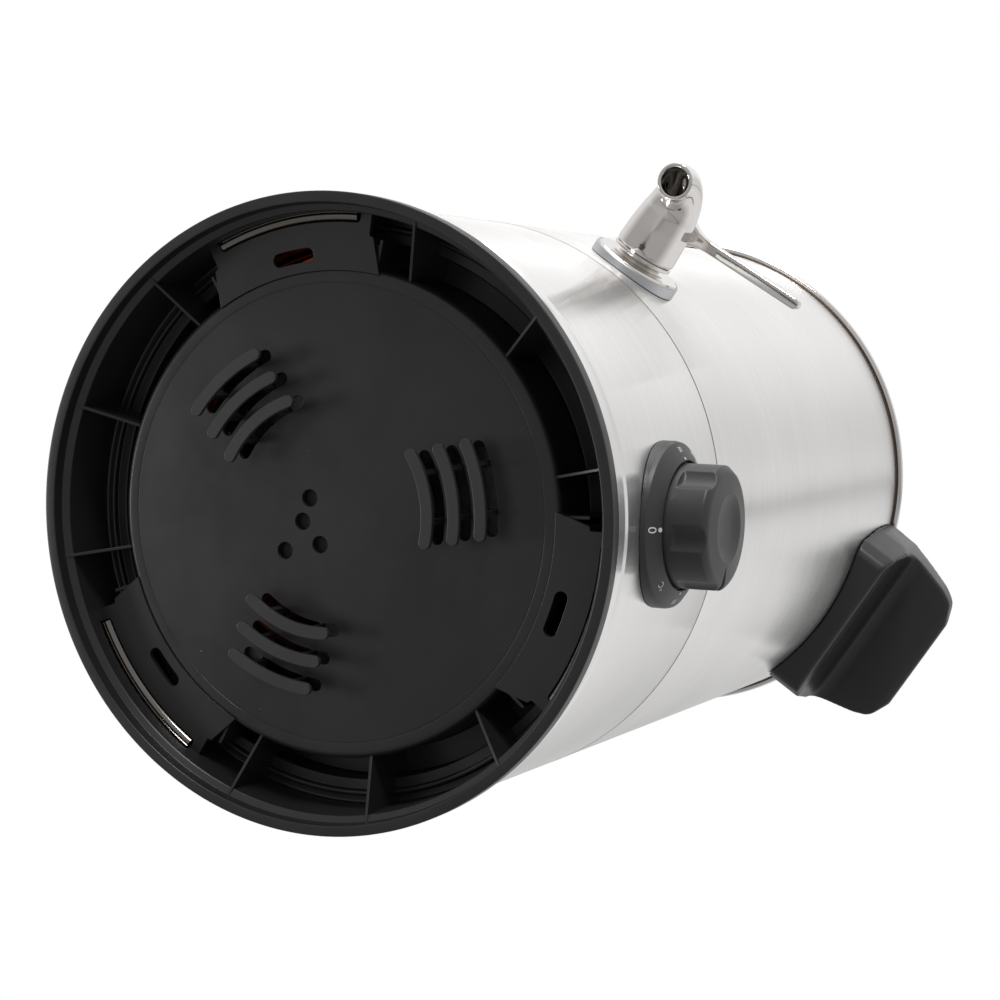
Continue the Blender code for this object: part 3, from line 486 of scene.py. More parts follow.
# dark brown of painted shade, for the shadowed crevices under the rolled bead and at the waist seam
creviceShadeBrown = plain("paintedCreviceShade", (0.16, 0.12, 0.09), (0.10, 0.075, 0.06), 0.40, 1.0)
screwBlack = plain("blackOxide", (0.020, 0.020, 0.021), (0.012, 0.012, 0.012), 0.38, 0.6)
tapSteel = polished("polishedTapSteel", (0.82, 0.79, 0.765), 0.05)
ringSilver = polished("flangeEdgeSatin", (0.62, 0.63, 0.64), 0.38)
gasketGrey = plain("siliconeGrey", (0.50, 0.53, 0.55), (0.42, 0.45, 0.47), 0.45)
plainSteel = plain("zincSteel", (0.62, 0.62, 0.63), (0.45, 0.45, 0.46), 0.36, 1.0)
aluminium = plain("rolledAluminium", (0.70, 0.70, 0.71), (0.60, 0.60, 0.61), 0.40, 1.0)
sheathMetal = plain("oxidisedSheath", (0.16, 0.14, 0.12), (0.08, 0.07, 0.06), 0.50, 1.0)
switchCream = plain("switchInsulator", (0.62, 0.58, 0.48), (0.50, 0.46, 0.38), 0.50)
sealWhite = plain("fluoropolymerWhite", (0.80, 0.80, 0.78), (0.70, 0.70, 0.68), 0.40)
copperRed = plain("capillaryCopper", (0.72, 0.36, 0.22), (0.52, 0.24, 0.14), 0.30, 1.0)
# painted glow: the live wire's insulation gives off light though it is no lamp
liveRedGlowing = plain("liveInsulationPaintedGlow", (0.75, 0.10, 0.015), (0.45, 0.045, 0.008), 0.22,
                glow=(0.60, 0.07, 0.01))
neutralBlue = plain("neutralInsulation", (0.02, 0.08, 0.35), (0.01, 0.05, 0.24), 0.35)
earthGreen = plain("earthInsulation", (0.35, 0.50, 0.05), (0.20, 0.34, 0.03), 0.35)
numeralWhite = plain("numeralPrint", (0.80, 0.80, 0.79), (0.66, 0.66, 0.65), 0.50)
print("materials made")

# the black base

base = dict(hub=0.0944, hubZ=0.01625, wall=0.0025, rim=0.125, wallOut=0.1193, wallIn=0.1173, ledgeZ=0.033,
            channelZ=0.045, pads=(-14.6, 105.4, 225.4), padHalf=22.3,
            padInner=0.0952, padStep=0.1093, padTail=18.4, padChamfer=0.0004, endWallSwing=21.0,
            endWallHalf=0.0006,
            ribs=(15.4, 45.4, 75.4, 135.4, 165.4, 195.4, 255.4, 285.4, 315.4), ribThick=0.0006,
            ribBreak=0.00018,
            vents=(-44.6, 75.4, 195.4), ventRadii=(0.0463, 0.0576, 0.0688), ventWide=0.0052, ventLong=0.0325,
            hoodBreak=0.0003, postAt=0.0095, postHalf=0.0010, postDeep=0.0014, barDeep=0.0046, collarR=0.0948,
            roofZ=0.0475, roofR=0.1098, shoulderZ=0.0355, flangeZ=0.0062, channelIn=0.0970, channelOut=0.1074,
            channelEnd=0.0460, grooveDeep=0.00012, ridgeDeep=0.0024,
            stripWide=0.0049, stripLong=0.0350, hoodZ=0.0052, hoodThick=0.0020, slotR=0.1019, slotLong=0.0128,
            slotWide=0.0055, hemHalf=16.0,
            holes=((-0.0119, 0.0012), (-0.0092, 0.0107), (0.0023, 0.0136), (-0.0090, 0.0250)), holeR=0.0035)


def circle(radius, x=0.0, y=0.0, count=32):
    return arcPoints(radius, np.linspace(0, 2 * math.pi, count, endpoint=False), x, y)


def padOutline(s, azimuth):
    # straight-sided towards the wall, narrower beyond the channel
    inner = np.radians(np.linspace(-s["padHalf"], s["padHalf"], 25))
    outer = np.radians(np.linspace(s["padTail"], -s["padTail"], 25))

    def corner(radius, angle, rounding=0):
        return radius * math.cos(angle), radius * math.sin(angle), rounding
    side, step = s["padInner"] * math.sin(inner[-1]), s["padStep"]
    reach = math.sqrt(step ** 2 - side ** 2)
    outline = [corner(s["padInner"], t) for t in inner]
    outline += [(reach, side, 0.0022), corner(step, outer[0], 0.0012)]
    outline += [corner(s["wallIn"] + 0.001, t) for t in outer]
    outline += [corner(step, outer[-1], 0.0012), (reach, -side, 0.0022)]
    return turned(rounded(outline, True), math.radians(azimuth))


def upright(azimuth):
    # outlines of (radius, height) stand on the vessel's axis, facing an azimuth
    turn = Matrix.Rotation(math.radians(azimuth), 4, "Z")
    return uprightFrame() @ (turn @ Matrix.Rotation(math.radians(90), 4, "X"))


def makeBase(s):
    hubZ, ledge, groove = s["hubZ"], s["ledgeZ"], s["hubZ"] + s["grooveDeep"]
    top, ridge = hubZ + s["wall"], s["ledgeZ"] - s["ridgeDeep"]
    # (radius, height, rounding): up the hidden side, round the standing rim, back over ledge, channel and hub
    corners = [(0, top, 0), (s["hub"], top, 0.001), (s["collarR"], top + 0.003, 0.001),
               (s["collarR"], s["roofZ"], 0.0006), (s["roofR"], s["roofZ"], 0.0006),
               (s["roofR"], s["shoulderZ"], 0.0006), (s["wallOut"], s["shoulderZ"], 0.0006),
               (s["wallOut"], s["flangeZ"], 0.0002), (s["rim"], s["flangeZ"], 0.0007), (s["rim"], 0, 0.0007),
               (0.1207, 0, 0.0005), (0.1203, 0.0050, 0.0004), (s["wallIn"] + 0.0004, 0.0068, 0.0012),
               (s["wallIn"], ledge, 0.0010), (0.1142, ledge, 0.0004), (0.1140, ridge, 0.0009),
               (0.1120, ridge, 0.0009), (0.1118, ledge, 0.0004), (s["channelOut"], ledge, 0.0008),
               (s["channelOut"], s["channelZ"], 0.0008), (s["channelIn"], s["channelZ"], 0.0008),
               (s["channelIn"], hubZ, 0.0038), (0.0909, hubZ, 0.0003), (0.0908, groove, 0.0001),
               (0.0904, groove, 0.0001), (0.0903, hubZ, 0.0003), (0, hubZ, 0)]
    tray = lathe("tray", corners, 288, arc=8)

    def cutter(outline, low=0.0128, high=0.050):
        return prism("tool", outline, low, high)
    hemSlots = [rounded([(x, y, 0.0014) for x, y in ringPart(0.1140, 0.1214, az, s["hemHalf"], 8)], True, 3)
                for az in s["pads"]]
    tools = [cutter(slot) for slot in hemSlots]
    tools += [cutter(circle(s["holeR"], x, y), 0.010, 0.030) for x, y in s["holes"]]
    tools += [cutter(arcSlot(r, az, s["ventLong"], s["ventWide"]), 0.013, 0.030)
              for az in s["vents"] for r in s["ventRadii"]]
    tools += [cutter(ringPart(0.0985, 0.1062, az, 17.0), 0.040, 0.060) for az in s["pads"]]
    boolean(tray, tools)
    pieces = [tray]
    for az, hem in zip(s["pads"], hemSlots):
        outline = padOutline(s, az)
        pad = prism("pad", outline, hubZ - 0.0006, hubZ + 0.0020)
        boolean(pad, [cutter(arcSlot(s["slotR"], az, s["slotLong"], s["slotWide"]), 0.010, 0.060),
                      cutter(hem)])
        pieces.append(bevelled(pad, s["padChamfer"]))
        skirt = prism("padSkirt", outline, hubZ + 0.0015, ledge + 0.0010)
        boolean(skirt, [cutter(ringPart(0.0900, 0.1212, az, s["padTail"]), 0.010, 0.040),
                        cutter(ringPart(0.0900, 0.1080, az, 20.4), 0.010, 0.040)])
        pieces.append(skirt)
        for swing in (-s["endWallSwing"], s["endWallSwing"]):
            # end wall between the pad and the channel's roof
            outline = [(0.0952, hubZ + 0.0010), (0.1085, hubZ + 0.0010), (0.1085, 0.0336), (0.1072, 0.0336),
                       (0.1072, s["channelEnd"]), (0.0952, s["channelEnd"])]
            pieces.append(prism("endWall", outline, -s["endWallHalf"], s["endWallHalf"], upright(az + swing)))
    for az in s["ribs"]:
        outer = s["wallIn"] + 0.0008
        outline = [(0.0950, hubZ + 0.0016), (0.1205, 0.0046), (outer, 0.0070), (outer, 0.0340),
                   (0.1082, 0.0340),
                   (0.1082, s["channelEnd"]), (0.0954, s["channelEnd"])]
        pieces.append(bevelled(prism("rib", outline, -s["ribThick"], s["ribThick"], upright(az)),
                               s["ribBreak"]))
    hoods, hoodTop = [], s["hoodZ"] + s["hoodThick"]
    for az in s["vents"]:
        for r in s["ventRadii"]:
            strip = prism("strip", arcSlot(r, az, s["stripLong"], s["stripWide"]), s["hoodZ"], hoodTop)
            hoods.append(bevelled(strip, s["hoodBreak"]))
            half = math.degrees(s["postHalf"] / r)
            for swing in (-1, 1):
                # a post up to a bar that lies across the slot, on the disc's hidden side
                turn = math.radians(az + swing * math.degrees(s["postAt"] / r))
                place = uprightFrame() @ Matrix.Rotation(turn, 4, "Z")
                post = ringPart(r - s["postDeep"], r + s["postDeep"], 0, half, 2)
                bar = ringPart(r - s["barDeep"], r + s["barDeep"], 0, half, 2)
                pieces.append(prism("post", post, hoodTop - 0.0004, top + 0.0004, place))
                pieces.append(prism("bar", bar, top - 0.0002, top + 0.0012, place))
    return joined("baseShell", pieces, 18), joined("ventHoods", hoods, 18)


baseShell, ventHoods = makeBase(base)
keep(baseShell, "body", baseBlack, ["base_moulding"])
keep(ventHoods, "body", hoodLitBlack)
print("base made")

# the steel skirt and vessel

shell = dict(bodyR=0.1214, sheet=0.0009, hemIn=0.0007, seam=0.127, floorZ=0.096, beadZ=0.4078, beadR=0.0017,
             lipR=0.1164, lipWide=0.0021, lipZ=0.0166, lipHigh=0.0022, lipAround=48, lipAlong=72, steps=288)


def makeSkirt(s):
    hem, inner, outer = s["bodyR"] - s["hemIn"], s["bodyR"] - s["sheet"], s["bodyR"]
    corners = [(hem - s["sheet"], 0.0069, 0.0003), (hem - s["sheet"], 0.0221, 0.0006), (inner, 0.0240,
                                                                                        0.0006),
               (inner, s["seam"], 0.0002), (outer, s["seam"], 0.00045), (outer, 0.0240, 0.0004),
               (hem, 0.0226, 0.0006), (hem, 0.0067, 0.0004)]
    return lathe("skirtShell", corners, s["steps"], closed=True, sharp=40)


def makeLips(s):
    # the skirt's rolled lip, where it shows in the base's long slots
    pieces = []
    half = math.radians(base["hemHalf"] - 0.5)
    around, along = s["lipAround"], s["lipAlong"]
    lean = np.linspace(0, 2 * math.pi, around, endpoint=False)
    radius = s["lipR"] + s["lipWide"] * np.cos(lean)
    height = np.broadcast_to(s["lipZ"] + s["lipHigh"] * np.sin(lean), (along, around))
    for azimuth in base["pads"]:
        turns = (math.radians(azimuth) + np.linspace(-half, half, along))[:, None]
        points = np.stack([radius * np.cos(turns), radius * np.sin(turns), height], -1)
        ends = [np.broadcast_to(points[i].mean(0), (1, around, 3)) for i in (0, -1)]
        points = moved(np.concatenate([ends[0], points, ends[1]]), uprightFrame())
        pieces.append(makeMesh("lip", [(points, gridFaces(len(points), around, False, True))], 40))
    return joined("hemLips", pieces, 40)


def makeVessel(s):
    outer, sheet = s["bodyR"], s["sheet"]
    inner = outer - sheet
    foot = inner - 0.0004
    floorZ = s["floorZ"]
    seam, bead = s["seam"], s["beadZ"]
    corners = [(0, floorZ + sheet, 0), (foot - sheet, floorZ + sheet, 0.009), (foot - sheet, seam + 0.0004,
                                                                               0.001),
               (inner, seam + 0.0018, 0.001), (inner, bead + 0.0006, 0.0002), (outer, bead + 0.0006, 0.0002),
               (outer, bead - 0.0030, 0), (outer, seam + 0.0003, 0.0004), (inner + 0.0001, seam + 0.0003, 0),
               (foot, seam - 0.0008, 0), (foot, floorZ, 0.010), (0, floorZ, 0)]
    return lathe("vesselShell", corners, s["steps"], sharp=40)


def makeBead(s):
    middle = s["bodyR"] + s["beadR"] - 0.0002
    turns = np.radians(np.linspace(0, 360, 28, endpoint=False))
    profile = [(middle + s["beadR"] * math.cos(t), s["beadZ"] + s["beadR"] * math.sin(t), 0) for t in turns]
    return lathe("rimBead", profile, s["steps"], closed=True, sharp=60)


def makeSeam(name, s, z, high, reach):
    # narrow dark ring of painted shade, standing for the shadow in the crevice where two sheets meet
    inner, outer = s["bodyR"] - 0.0006, s["bodyR"] + reach
    corners = [(inner, z, 0), (outer, z, 0.00008), (outer, z + high, 0.00008), (inner, z + high, 0)]
    return lathe(name, corners, s["steps"], closed=True)


keep(makeBead(shell), "body", rimSteel)
# painted shade: thin dark rings in the crevice under the rolled bead and in the gap at the waist seam
beadFoldShade = makeSeam("beadFoldShade", shell, shell["beadZ"] - 0.0027, 0.0013, 0.0006)
keep(beadFoldShade, "body", creviceShadeBrown)
waistSeamShade = makeSeam("waistSeamShade", shell, shell["seam"] - 0.0002, 0.00065, 0.00006)
keep(waistSeamShade, "body", creviceShadeBrown)
keep(makeSkirt(shell), "body", bodySteel, ["lower_skirt"])
keep(makeLips(shell), "body", lipShadedSteel)
keep(makeVessel(shell), "body", bodySteel, ["vessel"])
print("skirt and vessel made")

# the dial and its knob

dial = dict(azimuth=-33.0, z=0.0686, outer=0.0329, front=0.1283, edge=0.1229, recess=0.0253, floor=0.1255,
            back=0.1217, numerals=(30, 40, 50, 60, 70, 80, 90, 100), first=-85.0, step=-27.14,
            numeralR=0.0296, dotR=0.0268, dotSize=0.00062, digit=0.0032, printThick=0.00003,
            printLift=0.00012)
knobSet = dict(radius=0.0245, back=0.1262, front=0.1445, dish=0.0135, flutes=6, fluteFirst=7.4,
               fluteR=0.00955,
               fluteCentre=0.03205, fluteStart=0.1303, fluteRound=0.0016, edgeSoft=0.00035, pointer=85.0,
               pointerWide=0.0024, pointerFrom=0.0140, pointerLong=0.0105, pointerDeep=0.0010,
               pointerDrop=0.0024)


def saddleDisc(name, corners, backRadius, place, steps=192, sharp=32):
    # a turned front whose last rows drop to the wall: height is the root of backRadius squared less the
    # square of the distance along the wall
    front = rounded(corners, False, 5)
    points = lathePoints(front, steps)
    radii = np.array([corners[-1][0], corners[-1][0] * 0.6, 0.0])
    back = lathePoints(np.stack([radii, np.zeros(3)], 1), steps)
    back[..., 2] = np.sqrt(backRadius ** 2 - back[..., 0] ** 2)
    points = np.concatenate([points, back])
    faces = gridFaces(len(points), steps, False, True)
    return makeMesh(name, [(moved(points, place), faces)], sharp)


def makeDial(s, place):
    corners = [(0, s["floor"], 0), (s["recess"], s["floor"], 0.0003), (s["recess"], s["front"], 0.0005),
               (s["outer"] - 0.0004, s["edge"] + 0.0006, 0.0009), (s["outer"], s["edge"] - 0.0012, 0.0004),
               (s["outer"], s["edge"] - 0.0020, 0)]
    return saddleDisc("dialCone", corners, s["back"], place)


def makeKnob(s, place, columns=540):
    # radius is the smaller of the turned profile and the flute walls; a flute wall is a circle set outside
    # the knob; the pointer is a wedge pressed into the edge
    dome = [(0.0, s["front"] - 0.0008, 0), (s["dish"] * 0.6, s["front"] - 0.0004, 0.02),
            (s["dish"], s["front"] + 0.0014, 0.0018), (s["radius"] - 0.0022, s["front"] + 0.0004, 0.006),
            (s["radius"], s["front"] - 0.0016, 0.0016), (s["radius"], s["fluteStart"] - 0.0005, 0),
            (s["radius"], s["back"], 0.0003), (0, s["back"], 0)]
    profile = rounded(dome, False, 8)
    # extra rows so that cuts keep their shape
    dense = [profile[0]]
    for point in profile[1:]:
        span = np.linalg.norm(point - dense[-1])
        start = dense[-1]
        row = 0.0004 if min(point[0], start[0]) > 0.012 else 0.0015
        pieces = max(1, int(span / row))
        dense += [start + (point - start) * (i + 1) / pieces for i in range(pieces)]
    dense = np.array(dense)
    turns = np.linspace(0, 2 * math.pi, columns, endpoint=False)
    radius = np.broadcast_to(dense[:, 0][:, None], (len(dense), columns)).copy()
    height = np.broadcast_to(dense[:, 1][:, None], (len(dense), columns)).copy()
    phi = np.degrees(turns)[None, :]  # degrees from -Y of the frame towards its X
    spread = 360.0 / s["flutes"]
    off = np.radians((phi - s["fluteFirst"] + spread / 2) % spread - spread / 2)
    depthHere = np.clip((height - s["fluteStart"]) / s["fluteRound"], 0, 1)
    depthHere = np.sqrt(1 - (1 - depthHere) ** 2)
    inside = s["fluteR"] ** 2 - (s["fluteCentre"] * np.sin(off)) ** 2
    wall = s["fluteCentre"] * np.cos(off) - np.sqrt(np.maximum(inside, 0))
    wall = np.where(inside > 0, wall, 1.0)
    cutR = np.minimum(radius, np.where(wall < 1, s["radius"] - (s["radius"] - wall) * depthHere, 1.0))
    soft = s["edgeSoft"]  # rounds the flute's edges
    blend = np.clip(0.5 + 0.5 * (wall - radius) / soft, 0, 1)
    eased = np.minimum(cutR, radius) - soft * blend * (1 - blend) * 0.5 * depthHere
    radius = np.where((wall < 1) & (depthHere > 0), eased, radius)
    fromPointer = np.radians((phi - s["pointer"] + 180) % 360 - 180)
    side, along = radius * np.sin(fromPointer), radius * np.cos(fromPointer)
    share = np.clip((along - s["pointerFrom"]) / s["pointerLong"], 0, 1)
    width = s["pointerWide"] * share
    wedge = np.clip(1 - np.abs(side) / np.maximum(width, 1e-6), 0, 1) * (width > 0) * (along > 0)
    reach = np.clip((height - (s["front"] - 0.0075)) / 0.0050, 0, 1)
    radius = radius - s["pointerDeep"] * wedge * reach * (radius > s["radius"] - 0.004)
    onFront = dense[:, 1][:, None] > s["front"] - 0.0030
    height = height - s["pointerDrop"] * np.minimum(wedge * 1.6, 1) * onFront * share
    points = np.stack([radius * np.sin(turns), -radius * np.cos(turns), height], -1)
    faces = gridFaces(len(points), columns, False, True)
    return makeMesh("knobCap", [(moved(points, place), faces)], 40)


def makeNumerals(s, place):
    # plain generic figures and dots; each lies on a plane that leans with the cone
    pieces = []
    slope = (s["front"] - s["edge"] - 0.0006) / (s["outer"] - 0.0004 - s["recess"])
    lean = math.atan(slope)

    def seatAt(turn, radius):
        angle = math.radians(turn)
        where = Vector((radius * math.sin(angle), -radius * math.cos(angle),
                        s["front"] - (radius - s["recess"]) * slope + s["printLift"]))
        spun = Matrix.Rotation(angle + math.pi, 4, "Z")
        return place @ Matrix.Translation(where) @ spun @ Matrix.Rotation(-lean, 4, "X")

    def figure(text, turn, radius, size):
        data = bpy.data.curves.new("figure", "FONT")
        data.body = text
        data.size = 1.0
        data.align_x, data.align_y = "CENTER", "CENTER"
        data.extrude = s["printThick"] / size
        data.resolution_u = 3
        made = bpy.data.objects.new("figure", data)
        scene.collection.objects.link(made)
        bpy.context.view_layer.update()
        graph = bpy.context.evaluated_depsgraph_get()
        mesh = bpy.data.meshes.new_from_object(made.evaluated_get(graph))
        bpy.data.objects.remove(made, do_unlink=True)
        mesh.transform(seatAt(turn, radius) @ Matrix.Scale(size, 4))
        obj = bpy.data.objects.new("figure", mesh)
        scene.collection.objects.link(obj)
        pieces.append(obj)

    def dot(turn, radius, size):
        outline = circle(size, count=24)
        pieces.append(prism("dot", outline, -s["printThick"], s["printThick"], seatAt(turn, radius)))

    figure("0", 0.0, s["numeralR"], s["digit"] * 1.75)
    dot(0.0, s["dotR"] - 0.0001, s["dotSize"] + 0.0003)
    for order, value in enumerate(s["numerals"]):
        turn = s["first"] + s["step"] * order
        figure(str(value), turn, s["numeralR"] + 0.0002, s["digit"])
        dot(turn, s["dotR"] - 0.0003, s["dotSize"])
    figure("°C", 50.0, s["numeralR"] - 0.0006, s["digit"] * 1.2)
    return joined("dialNumerals", pieces)


knobPlace = radialFrame(dial["azimuth"], dial["z"])
keep(makeDial(dial, knobPlace), "body", dialBlack, ["dial_plate"])
keep(makeNumerals(dial, knobPlace), "body", numeralWhite)
keep(makeKnob(knobSet, knobPlace), "knob_set", dialBlack, ["knob"])
print("dial and knob made")

# the tap

tap = dict(z=0.161, ball=0.144, start=0.1303, bend=0.150, outlet=0.1655, outletZ=0.1438, outletR=0.00785,
           boreR=0.0062, lip=0.00035, drop=0.0140, startSteps=24, boreEnd=21, leverZ=0.1815, leverReach=0.064,
           leverTurn=-2.4, leverHalf=0.0025, leverMiddle=0.0048, leverSquare=0.34, grubZ=0.0052, grubR=0.0013,
           flangeR=0.0205, gasketR=0.0207)
tapPlace = radialFrame(-90.0, tap["z"])
leverSpin = Matrix.Rotation(math.radians(tap["leverTurn"]), 4, "Z")
leverPlace = uprightFrame(0, -tap["ball"], tap["leverZ"]) @ leverSpin


def makeTapBody(s):
    # circles carried along a straight and a quarter bend; the bore's circles follow the same line back
    start = np.array([[0, 0, z] for z in np.linspace(s["start"], s["bend"], s["startSteps"])])
    turn = np.radians(np.linspace(0, 90, 40))[1:]
    reach = s["outlet"] - s["bend"]
    bend = np.stack([0 * turn, -s["drop"] * (1 - np.cos(turn)), s["bend"] + reach * np.sin(turn)], 1)
    end = np.array([[0, y, s["outlet"]] for y in np.linspace(-s["drop"], s["outletZ"] - s["z"], 5)])[1:]
    line = np.concatenate([start, bend, end])
    length = np.concatenate([[0], np.cumsum(np.linalg.norm(np.diff(line, axis=0), axis=1))])
    share = length / length[-1]
    bendAt = length[s["startSteps"] - 1] / length[-1]
    knots = [0.0, 0.012, 0.024, 0.25, bendAt, bendAt + 0.15, bendAt + 0.33, 0.90, 1.0]
    sizes = [0.01325, 0.0137, 0.01385, 0.0134, 0.0124, 0.0111, 0.0093, 0.00800, s["outletR"]]
    radii = np.interp(share, knots, sizes)
    radii[4:] = np.convolve(np.pad(radii, 3, "edge"), np.ones(7) / 7, "valid")[4:]
    along = np.gradient(line, axis=0)
    along /= np.linalg.norm(along, axis=1)[:, None]
    side = np.broadcast_to(np.array([1.0, 0, 0]), along.shape)
    over = np.cross(along, side)
    sides = 96
    turns = np.linspace(0, 2 * math.pi, sides, endpoint=False)

    def ring(i, radius, shift=0.0):
        centre = line[i] + along[i] * shift
        around = np.cos(turns)[:, None] * side[i] + np.sin(turns)[:, None] * over[i]
        return (centre + radius * around)[None]
    last = len(line) - 1
    rows = [np.broadcast_to(line[0], (1, sides, 3))]
    rows += [ring(i, radii[i]) for i in range(len(line))]
    lip = s["lip"]
    rows += [ring(last, s["outletR"] - lip * 0.3, lip * 0.7), ring(last, s["outletR"] - lip, lip)]
    rows += [ring(last, s["boreR"] + lip, lip), ring(last, s["boreR"] + lip * 0.3, lip * 0.7)]
    rows += [ring(i, s["boreR"]) for i in range(last, s["boreEnd"] - 1, -1)]
    rows.append(np.broadcast_to(line[s["boreEnd"]], (1, sides, 3)))
    points = np.concatenate(rows)
    faces = gridFaces(len(points), sides, False, True)
    body = makeMesh("tapElbow", [(moved(points, tapPlace), faces)], 40)
    boss = lathe("boss", [(0, 0.0055, 0), (0.0070, 0.0055, 0), (0.0070, 0.0140, 0.0008),
                          (0.0064, 0.0149, 0.0002),
                          (0, 0.0149, 0)], 64, uprightFrame(0, -s["ball"], s["z"]))
    return joined("tapElbow", [body, boss], 40)


def makeLever(s):
    hub = lathe("hub", [(0, 0.0100, 0), (0.0066, 0.0100, 0.0014), (0.0066, 0, 0.0004), (0.0050, 0, 0.0003),
                        (0.0050, 0.0020, 0.0003), (0, 0.0020, 0)], 96, leverPlace)
    # rounded oblongs carried along X: half width and half height change along the bar, and the end is round
    tip = s["leverReach"] - s["leverHalf"]
    x = np.concatenate([np.linspace(0.0025, 0.018, 24), np.linspace(0.02, tip - 0.0002, 12),
                        tip + s["leverHalf"] * np.sin(np.radians(np.linspace(2, 89.5, 22)))])
    wide = np.interp(x, [0.0025, 0.005, 0.0085, 0.0115, 0.015, s["leverReach"]],
                     [0.0060, 0.0052, 0.0036, 0.0029, 0.0026, s["leverHalf"]])
    tall = np.interp(x, [0.0025, 0.010, 0.020, s["leverReach"]], [0.0032, 0.0028, 0.0024, 0.0024])
    middle, power = s["leverMiddle"], s["leverSquare"]
    endShare = np.clip((x - tip) / s["leverHalf"], 0, 1)
    wide = wide * np.sqrt(np.maximum(1 - endShare ** 2, 0.0004))
    turns = np.linspace(0, 2 * math.pi, 64, endpoint=False)
    cosine = np.sign(np.cos(turns)) * np.abs(np.cos(turns)) ** power
    sine = np.sign(np.sin(turns)) * np.abs(np.sin(turns)) ** power
    points = np.stack([np.broadcast_to(x[:, None], (len(x), 64)), wide[:, None] * cosine,
                       middle + tall[:, None] * sine], -1)
    ends = [np.broadcast_to(np.array([x[0], 0, middle]), (1, 64, 3)),
            np.broadcast_to(np.array([x[-1], 0, middle]), (1, 64, 3))]
    points = np.concatenate([ends[0], points, ends[1]])
    bar = makeMesh("bar", [(moved(points, leverPlace), gridFaces(len(points), 64, False, True))], 50)
    holeWay = leverPlace @ Matrix.Translation((0, 0, s["grubZ"])) @ Matrix.Rotation(math.radians(90), 4, "X")
    screwHole = prism("tool", circle(s["grubR"], count=24), 0.0020, 0.0120, holeWay)
    boolean(hub, [screwHole], sharp=40)
    return joined("leverBar", [hub, bar], 45)


def makeTail():
    corners = [(0.0045, 0.1030, 0.0002), (0.0045, 0.1322, 0), (0.0076, 0.1322, 0), (0.0076, 0.1300, 0.0001),
               (0.0138, 0.1300, 0.0004), (0.0138, 0.1284, 0.0004), (0.0118, 0.1277, 0.0010),
               (0.0103, 0.1268, 0.0012),
               (0.0101, 0.1257, 0), (0.0080, 0.1257, 0), (0.0080, 0.1036, 0.0002), (0.0074, 0.1030, 0.0002)]
    return lathe("tapNeck", corners, 128, tapPlace, True)


def makeFlange(s):
    edge = s["flangeR"] - 0.0009
    corners = [(0.0084, 0.1240, 0), (0.0084, 0.1260, 0.0002), (0.0120, 0.1260, 0.0010),
               (0.0135, 0.1256, 0.0010),
               (0.0188, 0.1256, 0.0006), (edge, 0.1249, 0.0005), (edge, 0.1240, 0.0001)]
    return lathe("tapFlangeDish", corners, 128, tapPlace, True)


def makeFlangeEdge(s):
    corners = [(0, 0.1240, 0), (s["flangeR"] - 0.0012, 0.1243, 0), (s["gasketR"] - 0.0004, 0.1252, 0.0005),
               (s["gasketR"], 0.1244, 0.0004), (s["gasketR"], 0.1225, 0)]
    return saddleDisc("tapFlangeRing", corners, 0.1217, tapPlace, 160)


def makeGlandNut(s):
    top = s["leverZ"] - s["z"] - 0.0003
    corners = [(0.0036, 0.0152, 0), (0.0036, top, 0), (0.0066, top, 0.0006), (0.0066, 0.0153, 0.0004),
               (0.0049, 0.0153, 0), (0.0049, 0.0152, 0)]
    return lathe("glandNutCollar", corners, 64, uprightFrame(0, -s["ball"], s["z"]), True)


keep(makeTapBody(tap), "body", tapSteel, ["tap_body"])
keep(makeTail(), "body", tapSteel, ["tap_tail"])
keep(makeFlange(tap), "body", tapSteel, ["tap_flange"])
keep(makeFlangeEdge(tap), "body", ringSilver, ["tap_outer_gasket"])
keep(makeGlandNut(tap), "body", tapSteel, ["tap_gland_nut"])
keep(makeLever(tap), "tap_lever_set", tapSteel, ["tap_lever"])
print("tap made")

# the two handles

grip = dict(low=0.350, shelf=0.387, top=0.4045, wallR=0.1217, cell=0.00075, smooth=10)


